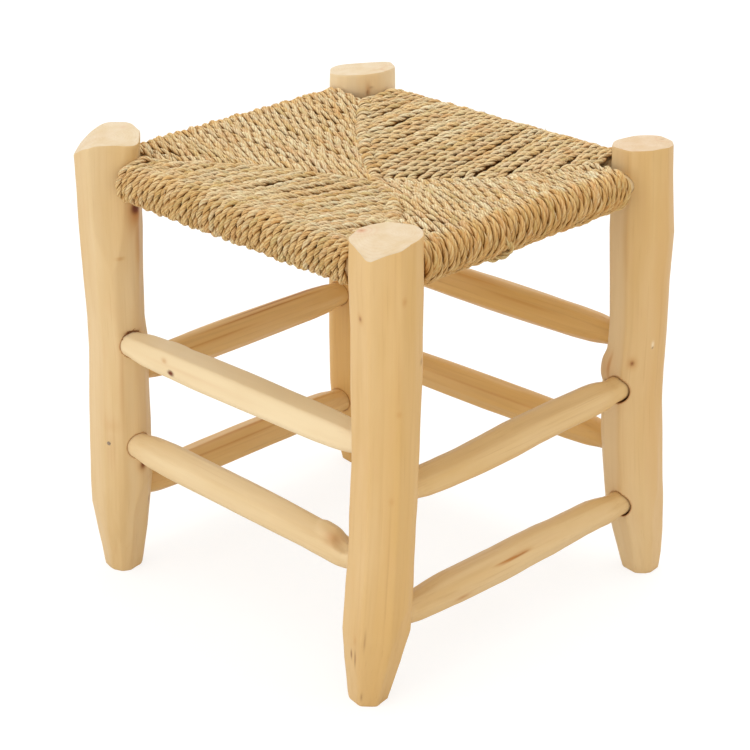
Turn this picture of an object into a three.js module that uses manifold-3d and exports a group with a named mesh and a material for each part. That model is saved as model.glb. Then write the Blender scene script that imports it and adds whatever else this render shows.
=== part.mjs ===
import * as THREE from "three";
import { mergeVertices } from "three/addons/utils/BufferGeometryUtils.js";
import Module from "manifold-3d";

// A Moroccan kursi: four whittled posts, two stretchers a side, four seat rails, and a seat
// of twisted palm cord wound over the rails so that its turns meet along the two diagonals.
// Millimetres, +Z up. The origin is on the floor under the middle of the stool.
// The front, -Y, and the right side, +X, face the viewer.

// Driving sizes
const stool = {
  height: 450, // floor to the tops of the posts
  spacing: 364, // between the axes of two neighbouring posts
};
const post = { radius: 31, rim: 2.5 };
const stretcher = {
  radius: 18, // at the swollen middle
  tenonRadius: 12.5,
  pastAxis: 6, // how far a tenon reaches beyond the post's axis
  shoulder: 2, // from the post's surface to where the swelling starts
};
const rail = {
  radius: 13,
  tenonRadius: 10,
  belowTop: 34, // from the tops of the posts down to the rails' axes
  shortOfAxis: 13, // two rail tenons meet in each post, so each stops here
  shoulder: 3,
};
const cord = { diameter: 7.2, pitch: 7.55, groove: 2.4 };
const seat = {
  dishDepth: 20, // the middle lies this far below the turns on the rails
  thickness: 23, // of the weave in the middle
  cornerDepth: 3, // the same drop, at the corners beside the posts
  cornerReach: 1, // how far the first turns lean into the corners, round the posts
};
const nail = {
  shankRadius: 1.3,
  headRadius: 2.6,
  headThickness: 1,
  pastTenon: 4, // how far the point reaches beyond the tenon that the nail pins
  pointLength: 5,
  pointRadius: 0.33,
};
const fit = { gap: 0.3, overrun: 4 };

// Numbers of sides
const postSides = 16;
const stretcherSides = 12;
const railSides = 12;
const nailSides = 8;
const turnSteps = 5; // steps in the half turn of cord over a rail
// The loops of points on a sawn top, as shares of the way out to its rim
const topLoopShares = [1, 0.75, 0.45];
// Levels of the seat at which its clearance from the posts is taken, as shares of the radius
// of a wrapped rail
const seatLevelShares = [-1, -0.5, 0, 0.5, 1];
// How far the middle of each diagonal bows towards the left or right rail, in pitches of cord
const diagonalBowShares = [1.3, 1.5, 2.4, 0.8];

const HALF = 0.5;
const TURN = 2 * Math.PI;
const UP = new THREE.Vector3(0, 0, 1);

// Whittled outlines: each flat is [where it faces, as a share of a turn, and how far it lies
// from the axis, as a share of the radius]. Between the flats the outline is round.
const postFlatShares = {
  front_left: [[0.82, 0.93], [0.95, 0.96], [0.1, 0.95], [0.35, 0.94], [0.6, 0.93]],
  front_right: [[0.74, 0.95], [0.87, 0.9], [0.98, 0.96], [0.3, 0.94], [0.55, 0.95]],
  back_right: [[0.7, 0.93], [0.83, 0.94], [0.94, 0.93], [0.2, 0.94], [0.46, 0.95]],
  back_left: [[0.78, 0.95], [0.9, 0.94], [0.15, 0.93], [0.4, 0.95], [0.62, 0.94]],
};
const postTipFlatShares = {
  front_left: [[0.87, 0.8], [0.62, 0.94], [0.12, 0.92], [0.2, 0.92]],
};
const stretcherFlatShares = [[0.02, 0.91], [0.19, 0.94], [0.42, 0.95], [0.57, 0.92], [0.8, 0.93]];
const roundOutline = [];

// Heights up a post at which its radius and bend are given, as shares of its height
const stationShares = [0, 0.04, 0.09, 0.16, 0.22, 0.33, 0.45, 0.53, 0.6, 0.7, 0.81, 0.92, 1];

// The four posts in order round the stool. Shifts, bends and radii are shares of the post's
// radius. A bend moves the axis towards the back right corner. The top is cut on a slant,
// given as its rise along X and along Y, and heightShare is how tall the post stands. Where a
// shoulder was hewn off a top, it is [where it faces, as a share of a turn, how far from the
// axis it starts, how far it has fallen at the post's radius].
const posts = [
  {
    name: "front_left",
    cornerShares: [-1, -1],
    footShiftShares: [0.04, 0.22],
    topShiftShares: [-0.035, 0.225],
    radiusShares: [0.63, 0.71, 0.83, 0.96, 1.01, 0.99, 0.97, 0.97, 0.92, 0.96, 1.01, 1.04, 1.07],
    bendShares: [0.02, 0.02, 0.01, -0.01, 0.03, 0.04, 0.05, 0.08, 0.01, -0.03, -0.05, -0.07, -0.06],
    heightShare: 1.01,
    slantShares: [-0.03, 0.11],
    shoulderShares: [0.6, 0.03, 0.5],
  },
  {
    name: "front_right",
    cornerShares: [1, -1],
    footShiftShares: [-0.01, -0.11],
    topShiftShares: [0.08, -0.06],
    radiusShares: [0.62, 0.73, 0.87, 1, 0.99, 0.98, 0.99, 0.97, 0.98, 1.01, 1.01, 1.05, 1.03],
    bendShares: [-0.21, -0.16, -0.1, -0.02, 0.02, 0.07, 0.1, 0.11, 0.1, 0.08, 0.05, -0.02, -0.04],
    heightShare: 0.996,
    slantShares: [0.045, 0.085],
    shoulderShares: [0.8, 0.2, 0.35],
  },
  {
    name: "back_right",
    cornerShares: [1, 1],
    footShiftShares: [0.35, 0.26],
    topShiftShares: [-0.17, -0.13],
    radiusShares: [0.63, 0.74, 0.85, 0.95, 0.96, 1, 0.97, 0.93, 0.92, 0.95, 1.02, 0.98, 0.95],
    bendShares: [0.19, 0.15, 0.08, -0.03, -0.08, -0.15, -0.17, -0.08, -0.02, 0, 0.05, 0.05, 0.05],
    heightShare: 1.002,
    slantShares: [0.08, -0.09],
    shoulderShares: [0.1, 0.5, 0.05],
  },
  {
    name: "back_left",
    cornerShares: [-1, 1],
    footShiftShares: [-0.08, -0.13],
    topShiftShares: [-0.14, -0.25],
    radiusShares: [0.66, 0.78, 0.9, 1.04, 1.08, 1.1, 1.1, 1.1, 1.1, 1.12, 1.14, 1.16, 1.14],
    bendShares: [0, 0, -0.02, -0.04, -0.06, -0.07, -0.07, -0.07, -0.05, -0.03, 0, 0, 0],
    heightShare: 0.996,
    slantShares: [0.13, -0.14],
    shoulderShares: [0.35, 0.5, 0.05],
  },
];

// The stretchers. start and end are posts by their order, heightShares the height of each
// end as a share of the stool's, bowShare the rise of the middle as a share of the radius,
// and outShares how far to the outside of its post's axis an end goes in.
const stretchers = [
  {
    name: "front_upper",
    start: 0,
    end: 1,
    heightShares: [0.555, 0.556],
    bowShare: 0.02,
    turnShare: 0,
    outShares: [0.13, 0],
  },
  { name: "front_lower", start: 0, end: 1, heightShares: [0.316, 0.298], bowShare: 0.1, turnShare: 0.08 },
  { name: "right_upper", start: 1, end: 2, heightShares: [0.454, 0.456], bowShare: -0.05, turnShare: 0.05 },
  { name: "right_lower", start: 1, end: 2, heightShares: [0.174, 0.178], bowShare: -0.08, turnShare: 0.12 },
  { name: "back_upper", start: 2, end: 3, heightShares: [0.553, 0.553], bowShare: -0.05, turnShare: 0.03 },
  { name: "back_lower", start: 2, end: 3, heightShares: [0.3, 0.302], bowShare: 0, turnShare: 0.1 },
  { name: "left_upper", start: 3, end: 0, heightShares: [0.455, 0.462], bowShare: 0.02, turnShare: 0.06 },
  { name: "left_lower", start: 3, end: 0, heightShares: [0.176, 0.179], bowShare: 0.02, turnShare: 0.02 },
];
// Along a stretcher between its shoulders: [share of that length, how far the radius has
// grown from the tenon's to the middle's]
const swellShares = [
  [0.06, 0.6],
  [0.15, 0.84],
  [0.32, 0.96],
  [0.5, 1],
  [0.68, 0.96],
  [0.85, 0.84],
  [0.94, 0.6],
];

// The nail that pins the tenon of a stretcher: the post and which of its flats it is driven
// into, and how far it lies above the tenon's axis, as a share of the tenon's radius
const nailPlan = { post: 0, flat: 0, stretcher: 1, riseShare: 0.3 };

const colours = {
  post: 0xe3c793,
  stretcher: 0xd9b77c,
  rail: 0xd3b078,
  cord: 0xb99a6b,
  nail: 0x8b8a86,
};
const roughness = { wood: 0.6, cord: 0.85, nail: 0.45 };
const metalness = { nail: 0.8 };

const wasm = await Module();
wasm.setup();

// Solids
function solidOf(geometry, matrix = new THREE.Matrix4()) {
  const placed = new THREE.BufferGeometry();
  placed.setAttribute("position", geometry.getAttribute("position"));
  placed.setIndex(geometry.getIndex());
  const merged = mergeVertices(placed.clone().applyMatrix4(matrix));
  return new wasm.Manifold(
    new wasm.Mesh({
      numProp: 3,
      vertProperties: new Float32Array(merged.attributes.position.array),
      triVerts: new Uint32Array(merged.index.array),
    }),
  );
}

function geometryOf(solid) {
  const mesh = solid.getMesh();
  const geometry = new THREE.BufferGeometry();
  geometry.setAttribute("position", new THREE.BufferAttribute(mesh.vertProperties, mesh.numProp));
  geometry.setIndex(new THREE.BufferAttribute(mesh.triVerts, 1));
  return geometry;
}

// A closed skin over rings of points that all turn the same way round the line they follow.
function loft(rings) {
  const points = rings.flat();
  const sides = rings[0].length;
  const faces = [];
  for (let ring = 1; ring < rings.length; ring += 1) {
    for (let side = 0; side < sides; side += 1) {
      const next = (side + 1) % sides;
      const a = (ring - 1) * sides + side;
      const b = (ring - 1) * sides + next;
      const c = ring * sides + next;
      const d = ring * sides + side;
      faces.push(a, b, c, a, c, d);
    }
  }
  const last = (rings.length - 1) * sides;
  for (let side = 1; side < sides - 1; side += 1) {
    faces.push(0, side + 1, side);
    faces.push(last, last + side, last + side + 1);
  }
  const geometry = new THREE.BufferGeometry().setFromPoints(points);
  geometry.setIndex(faces);
  return geometry;
}

// How far the outline lies from the axis in each direction, as a share of the radius
function outlineShares(flats, sides, turnShare = 0) {
  return Array.from({ length: sides }, (_, side) => {
    const angle = (side / sides) * TURN;
    const reaches = flats.map(([facing, depth]) => {
      const slope = Math.cos(angle - (facing + turnShare) * TURN);
      return slope > 0 ? depth / slope : 1;
    });
    return { angle, share: Math.min(1, ...reaches) };
  });
}

// Reads a value from a table given at the stations
function atStation(values, share) {
  const last = stationShares.length - 1;
  const above = stationShares.findIndex((station) => station >= share);
  const upper = above < 0 ? last : Math.max(above, 1);
  const low = stationShares[upper - 1];
  const part = (share - low) / (stationShares[upper] - low);
  return THREE.MathUtils.lerp(values[upper - 1], values[upper], Math.min(part, 1));
}

// Posts
const bendWay = new THREE.Vector2(1, 1).normalize();

function postAxis(plan, height) {
  const share = height / stool.height;
  const place = (axis) => {
    const shift = THREE.MathUtils.lerp(plan.footShiftShares[axis], plan.topShiftShares[axis], share);
    const bend = atStation(plan.bendShares, share) * bendWay.getComponent(axis);
    return plan.cornerShares[axis] * stool.spacing * HALF + (shift + bend) * post.radius;
  };
  return new THREE.Vector3(place(0), place(1), height);
}

function postRadius(plan, height) {
  return atStation(plan.radiusShares, height / stool.height) * post.radius;
}

// How far the sawn top lies above its height at the axis, over a point at x, y from the axis
function topRise(plan, x, y) {
  const [turnShare, startShare, fallShare] = plan.shoulderShares;
  const angle = turnShare * TURN;
  const out = (x * Math.cos(angle) + y * Math.sin(angle)) / post.radius;
  const past = Math.max(out - startShare, 0) / (1 - startShare);
  return x * plan.slantShares[0] + y * plan.slantShares[1] - fallShare * post.radius * past * past;
}

function postRing(plan, height, radius, atTip) {
  const axis = postAxis(plan, height);
  const foot = postAxis(plan, 0);
  const tipFlats = atTip ? (postTipFlatShares[plan.name] ?? []) : [];
  const flats = [...postFlatShares[plan.name], ...tipFlats];
  return outlineShares(flats, postSides).map(({ angle, share }) => {
    const x = Math.cos(angle) * radius * share;
    const y = Math.sin(angle) * radius * share;
    const rise = atTip ? topRise(plan, x, y) : 0;
    return new THREE.Vector3(axis.x - foot.x + x, axis.y - foot.y + y, height + rise);
  });
}

function postGeometry(plan) {
  const top = stool.height * plan.heightShare;
  const middle = stationShares.slice(1, -1).map((share) => share * stool.height);
  const tipRadius = postRadius(plan, top);
  return loft([
    postRing(plan, 0, postRadius(plan, 0) - post.rim, false),
    ...[post.rim, ...middle].map((height) => postRing(plan, height, postRadius(plan, height), false)),
    postRing(plan, top - post.rim, tipRadius, true),
    ...topLoopShares.map((share) => postRing(plan, top, (tipRadius - post.rim) * share, true)),
  ]);
}

// Bars: stretchers and seat rails lie along their own X from one post to another.
function barMatrix(from, to) {
  const along = to.clone().sub(from).normalize();
  const across = UP.clone().cross(along).normalize();
  const up = along.clone().cross(across);
  const middle = from.clone().lerp(to, HALF);
  return new THREE.Matrix4().makeBasis(along, across, up).setPosition(middle);
}

function barRing(x, rise, radius, outline) {
  return outline.map(({ angle, share }) => {
    const y = Math.cos(angle) * radius * share;
    const z = Math.sin(angle) * radius * share + rise;
    return new THREE.Vector3(x, y, z);
  });
}

function stretcherBar(plan) {
  const ends = [posts[plan.start], posts[plan.end]];
  const heights = plan.heightShares.map((share) => share * stool.height);
  const axes = ends.map((end, i) => postAxis(end, heights[i]));
  const outward = axes[1].clone().sub(axes[0]).setZ(0).normalize().cross(UP);
  const outs = (plan.outShares ?? [0, 0]).map((share) => share * post.radius);
  const [from, to] = axes.map((axis, i) => axis.addScaledVector(outward, outs[i]));
  const length = from.distanceTo(to);
  const reach = ends.map((end, i) => postRadius(end, heights[i]) + stretcher.shoulder);
  const first = -length * HALF - stretcher.pastAxis;
  const last = length * HALF + stretcher.pastAxis;
  const shoulders = [-length * HALF + reach[0], length * HALF - reach[1]];
  const round = outlineShares(roundOutline, stretcherSides);
  const whittled = outlineShares(stretcherFlatShares, stretcherSides, plan.turnShare);
  const rings = swellShares.map(([place, growth]) => {
    const x = THREE.MathUtils.lerp(shoulders[0], shoulders[1], place);
    const radius = THREE.MathUtils.lerp(stretcher.tenonRadius, stretcher.radius, growth);
    const rise = Math.sin(place * Math.PI) * plan.bowShare * stretcher.radius;
    return barRing(x, rise, radius, whittled);
  });
  const tenonRing = (x) => barRing(x, 0, stretcher.tenonRadius, round);
  return {
    name: `stretcher_${plan.name}`,
    start: plan.start,
    end: plan.end,
    matrix: barMatrix(from, to),
    geometry: loft([
      tenonRing(first),
      tenonRing(shoulders[0]),
      ...rings,
      tenonRing(shoulders[1]),
      tenonRing(last),
    ]),
    tenonRadius: stretcher.tenonRadius,
    tenonEnds: [first, last],
    length,
    sides: stretcherSides,
    colour: colours.stretcher,
  };
}

const railHeight = stool.height - rail.belowTop;
const wrapRadius = rail.radius + cord.diameter;
// How far the cord's first turn keeps from the axis of each post, so that it is clear of the
// post's swellings and its lean over the whole depth of the seat
const seatLevels = seatLevelShares.map((share) => railHeight + share * wrapRadius);
const clearOf = posts.map((plan) => {
  const axis = postAxis(plan, railHeight);
  const reaches = seatLevels.map((height) => {
    const lean = postAxis(plan, height).setZ(railHeight).distanceTo(axis);
    return postRadius(plan, height) + lean;
  });
  return Math.max(...reaches) + fit.gap;
});

function railBar(start) {
  const end = (start + 1) % posts.length;
  const from = postAxis(posts[start], railHeight);
  const to = postAxis(posts[end], railHeight);
  const length = from.distanceTo(to);
  const first = -length * HALF + rail.shortOfAxis;
  const last = length * HALF - rail.shortOfAxis;
  const shoulders = [
    -length * HALF + clearOf[start] + rail.shoulder,
    length * HALF - clearOf[end] - rail.shoulder,
  ];
  const round = outlineShares(roundOutline, railSides);
  const sizes = [
    [first, rail.tenonRadius],
    [shoulders[0] - rail.shoulder, rail.tenonRadius],
    [shoulders[0], rail.radius],
    [shoulders[1], rail.radius],
    [shoulders[1] + rail.shoulder, rail.tenonRadius],
    [last, rail.tenonRadius],
  ];
  return {
    name: `seat_rail_${["front", "right", "back", "left"][start]}`,
    start,
    end,
    matrix: barMatrix(from, to),
    geometry: loft(sizes.map(([x, radius]) => barRing(x, 0, radius, round))),
    tenonRadius: rail.tenonRadius,
    tenonEnds: [first, last],
    length,
    sides: railSides,
    colour: colours.rail,
  };
}

// A bar's mortise at one of its ends: its tenon with the fitting gap all round, run out
// past the post's surface
function mortise(bar, atStart) {
  const radius = bar.tenonRadius + fit.gap / Math.cos(Math.PI / bar.sides);
  const way = atStart ? 1 : -1;
  const end = bar.tenonEnds[atStart ? 0 : 1] - way * fit.gap;
  const out = way * (2 * post.radius - bar.length * HALF);
  const outline = outlineShares(roundOutline, bar.sides);
  const ends = atStart ? [end, out] : [out, end];
  return solidOf(loft(ends.map((x) => barRing(x, 0, radius, outline))), bar.matrix);
}

// The nail lies along its own X, from its head, flush with the post, to its point beyond the
// tenon that it crosses.
function nailPlace() {
  const plan = posts[nailPlan.post];
  const held = stretchers[nailPlan.stretcher];
  const [turnShare, depthShare] = postFlatShares[plan.name][nailPlan.flat];
  const height = held.heightShares[0] * stool.height + nailPlan.riseShare * stretcher.tenonRadius;
  const axis = postAxis(plan, height);
  const depth = postRadius(plan, height) * depthShare;
  const inward = new THREE.Vector3(1, 0, 0).applyAxisAngle(UP, (turnShare + HALF) * TURN);
  const along = postAxis(posts[held.end], height).sub(axis);
  const crossing = stretcher.tenonRadius / Math.sin(inward.angleTo(along));
  const head = axis.clone().addScaledVector(inward, -depth);
  return {
    matrix: new THREE.Matrix4().makeBasis(inward, UP.clone().cross(inward), UP).setPosition(head),
    length: depth + crossing + nail.pastTenon,
  };
}

function nailLoft(sizes) {
  const outline = outlineShares(roundOutline, nailSides);
  return loft(sizes.map(([x, radius]) => barRing(x, 0, radius, outline)));
}

function nailGeometry(length) {
  return nailLoft([
    [0, nail.headRadius],
    [nail.headThickness, nail.headRadius],
    [nail.headThickness, nail.shankRadius],
    [length - nail.pointLength, nail.shankRadius],
    [length, nail.pointRadius],
  ]);
}

// The space that the nail takes in the wood, with the fitting gap all round
function nailHole({ matrix, length }) {
  const grown = fit.gap / Math.cos(Math.PI / nailSides);
  const sizes = [
    [-fit.overrun, nail.headRadius + grown],
    [nail.headThickness + fit.gap, nail.headRadius + grown],
    [nail.headThickness + fit.gap, nail.shankRadius + grown],
    [length + fit.gap, nail.shankRadius + grown],
  ];
  return solidOf(nailLoft(sizes), matrix);
}

// Seat: one skin over all the turns of the cord. Each side of the stool has a panel of turns
// square to its rail: over the rail, round its outer side and back beneath, with both ends on
// the diagonals, where the turns of the next side take over. Every second line of points is
// a crest of cord and the others are the grooves between two turns.
function seatGeometry() {
  const corners = posts.map((plan) => postAxis(plan, railHeight));
  const along = corners.map((corner, k) => {
    const next = corners[(k + 1) % corners.length];
    return next.clone().sub(corner).normalize();
  });
  // The first turns lean a little into the corner on their way inwards, round the post.
  const inner = corners.map((corner, k) => {
    const before = along[(k + corners.length - 1) % corners.length];
    const reach = clearOf[k] - seat.cornerReach;
    return corner.clone().addScaledVector(along[k], reach).addScaledVector(before, -reach);
  });
  const centre = inner.reduce((sum, point) => sum.add(point), new THREE.Vector3());
  centre.divideScalar(inner.length);

  const innerSpan = inner[0].distanceTo(inner[1]);
  const turns = 2 * Math.round((innerSpan / cord.pitch) * HALF);
  const groove = (line) => (line % 2 === 0 ? cord.groove : 0);
  const points = [];
  const faces = [];
  const addPoint = (point) => points.push(point) - 1;

  // The lines of points on each diagonal, above and below, from the corner to the centre
  const diagonal = (side) =>
    inner.map((corner, k) =>
      Array.from({ length: turns }, (_, line) => {
        const share = line / turns;
        const bow = diagonalBowShares[k] * cord.pitch * Math.sin(share * Math.PI);
        const point = corner.clone().lerp(centre, share);
        point.x += Math.sign(corner.x) * bow;
        point.y -= Math.sign(corner.y) * bow;
        const dish = THREE.MathUtils.lerp(seat.cornerDepth, seat.dishDepth, share);
        const top = railHeight + wrapRadius - dish;
        const bottom = railHeight - wrapRadius + seat.cornerDepth * (1 - share);
        point.z = side > 0 ? top - groove(line) : bottom + groove(line);
        return addPoint(point);
      }),
    );
  const above = diagonal(1);
  const below = diagonal(-1);
  const middleTop = railHeight + wrapRadius - seat.dishDepth - groove(turns);
  const middle = [
    addPoint(centre.clone().setZ(middleTop)),
    addPoint(centre.clone().setZ(middleTop + groove(turns) * 2 - seat.thickness)),
  ];

  for (let k = 0; k < corners.length; k += 1) {
    const next = (k + 1) % corners.length;
    const start = corners[k].clone().addScaledVector(along[k], clearOf[k]);
    const end = corners[next].clone().addScaledVector(along[k], -clearOf[next]);
    const outward = along[k].clone().cross(UP);
    const lines = Array.from({ length: 2 * turns + 1 }, (_, line) => {
      const fromCorner = Math.min(line, 2 * turns - line);
      const corner = line < turns ? k : next;
      const ends = fromCorner === turns ? middle : [above[corner][fromCorner], below[corner][fromCorner]];
      const axis = start.clone().lerp(end, line / (2 * turns));
      const radius = wrapRadius - groove(line);
      const turn = Array.from({ length: turnSteps + 1 }, (_, step) => {
        const angle = (step / turnSteps) * Math.PI;
        const point = axis.clone().addScaledVector(outward, Math.sin(angle) * radius);
        return addPoint(point.addScaledVector(UP, Math.cos(angle) * radius));
      });
      return [ends[0], ...turn, ends[1]];
    });
    for (let line = 1; line < lines.length; line += 1) {
      for (let step = 1; step < lines[line].length; step += 1) {
        const a = lines[line - 1][step - 1];
        const b = lines[line - 1][step];
        const c = lines[line][step];
        const d = lines[line][step - 1];
        faces.push(a, b, c, a, c, d);
      }
    }
    // The end faces beside the two posts
    const first = lines[0];
    const last = lines[lines.length - 1];
    for (let step = 1; step < first.length - 1; step += 1) {
      faces.push(first[0], first[step + 1], first[step]);
      faces.push(last[0], last[step], last[step + 1]);
    }
  }
  const geometry = new THREE.BufferGeometry().setFromPoints(points);
  geometry.setIndex(faces);
  return geometry;
}

// The bore that a rail fills inside the seat
function railBore(bar) {
  const radius = rail.radius + fit.gap / Math.cos(Math.PI / railSides);
  const outline = outlineShares(roundOutline, railSides);
  const half = bar.length * HALF;
  return solidOf(loft([-half, half].map((x) => barRing(x, 0, radius, outline))), bar.matrix);
}

// Assembly
const finish = (colour, rough, metal = 0) =>
  new THREE.MeshStandardMaterial({ color: colour, roughness: rough, metalness: metal });

function addMesh(group, name, geometry, matrix, material) {
  geometry.computeVertexNormals();
  const mesh = new THREE.Mesh(geometry, material);
  mesh.name = name;
  matrix.decompose(mesh.position, mesh.quaternion, mesh.scale);
  group.add(mesh);
}

// Cuts a solid that is given in place, and returns it in the frame of its own matrix
function cutInPlace(geometry, matrix, cutters) {
  const whole = solidOf(geometry, matrix);
  const cut = cutters.reduce((solid, cutter) => solid.subtract(cutter), whole);
  return geometryOf(cut).applyMatrix4(matrix.clone().invert());
}

function buildStool() {
  const bars = [...stretchers.map(stretcherBar), ...posts.map((_, k) => railBar(k))];
  const woodFrame = new THREE.Group();
  const seatGroup = new THREE.Group();

  const driven = nailPlace();
  const nailSpace = nailHole(driven);
  const pinned = `stretcher_${stretchers[nailPlan.stretcher].name}`;

  posts.forEach((plan, k) => {
    const matrix = new THREE.Matrix4().setPosition(postAxis(plan, 0));
    const cutters = bars.flatMap((bar) => [
      ...(bar.start === k ? [mortise(bar, true)] : []),
      ...(bar.end === k ? [mortise(bar, false)] : []),
    ]);
    if (k === nailPlan.post) cutters.push(nailSpace);
    const geometry = cutInPlace(postGeometry(plan), matrix, cutters);
    addMesh(woodFrame, `post_${plan.name}`, geometry, matrix, finish(colours.post, roughness.wood));
  });
  for (const bar of bars) {
    const cutters = bar.name === pinned ? [nailSpace] : [];
    const geometry = cutInPlace(bar.geometry, bar.matrix, cutters);
    addMesh(woodFrame, bar.name, geometry, bar.matrix, finish(bar.colour, roughness.wood));
  }
  const steel = finish(colours.nail, roughness.nail, metalness.nail);
  addMesh(woodFrame, "post_nail", nailGeometry(driven.length), driven.matrix, steel);

  const bores = bars.filter((bar) => bar.name.startsWith("seat_rail")).map(railBore);
  const seatMatrix = new THREE.Matrix4();
  const weave = cutInPlace(seatGeometry(), seatMatrix, bores);
  addMesh(seatGroup, "woven_seat", weave, seatMatrix, finish(colours.cord, roughness.cord));

  return new THREE.Group().add(woodFrame, seatGroup);
}

export default buildStool();
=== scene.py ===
import math

import bpy
import numpy as np
from mathutils import Matrix, Vector
from mathutils.bvhtree import BVHTree


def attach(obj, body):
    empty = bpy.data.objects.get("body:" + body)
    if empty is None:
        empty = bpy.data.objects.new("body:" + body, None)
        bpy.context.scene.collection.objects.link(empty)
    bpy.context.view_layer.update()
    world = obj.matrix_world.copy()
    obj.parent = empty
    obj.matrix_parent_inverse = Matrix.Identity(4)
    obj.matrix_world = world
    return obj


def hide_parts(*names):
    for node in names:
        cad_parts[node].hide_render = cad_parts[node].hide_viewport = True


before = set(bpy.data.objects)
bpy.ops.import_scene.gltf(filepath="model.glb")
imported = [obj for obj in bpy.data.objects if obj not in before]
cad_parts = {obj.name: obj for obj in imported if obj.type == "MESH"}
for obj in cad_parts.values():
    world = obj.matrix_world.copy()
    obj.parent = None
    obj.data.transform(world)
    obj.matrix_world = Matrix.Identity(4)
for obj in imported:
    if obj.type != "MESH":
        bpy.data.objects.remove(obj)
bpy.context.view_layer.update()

# A Moroccan kursi: whittled posts and stretchers in pale wood, and a seat of one long palm
# cord of two plies, wound over the seat rails in four triangles. Metres, +Z up.

MM = 0.001
UP = Vector((0, 0, 1))

# Driving sizes
HEIGHT = 450 * MM
SPACING = 364 * MM
POST_RADIUS = 31 * MM
POST_RIM = 2.5 * MM
STRETCHER_RADIUS = 18 * MM
TENON_RADIUS = 12.5 * MM
TENON_PAST_AXIS = 6 * MM
SHOULDER = 2 * MM
RAIL_RADIUS = 13 * MM
RAIL_TENON_RADIUS = 10 * MM
RAIL_HEIGHT = HEIGHT - 34 * MM
RAIL_SHORT_OF_AXIS = 13 * MM
CORD = 7.2 * MM
WRAP_RADIUS = RAIL_RADIUS + CORD
CORD_TURNS = 20
SEAT_DISH = 20 * MM
CORNER_DISH = 3 * MM
CORNER_REACH = 1 * MM
GAP = 0.3 * MM

STATIONS = [0, 0.04, 0.09, 0.16, 0.22, 0.33, 0.45, 0.53, 0.6, 0.7, 0.81, 0.92, 1]
SWELL = [(0.06, 0.6), (0.15, 0.84), (0.32, 0.96), (0.5, 1), (0.68, 0.96), (0.85, 0.84), (0.94, 0.6)]
STRETCHER_FLATS = [(0.02, 0.91), (0.19, 0.94), (0.42, 0.95), (0.57, 0.92), (0.8, 0.93)]

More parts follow.
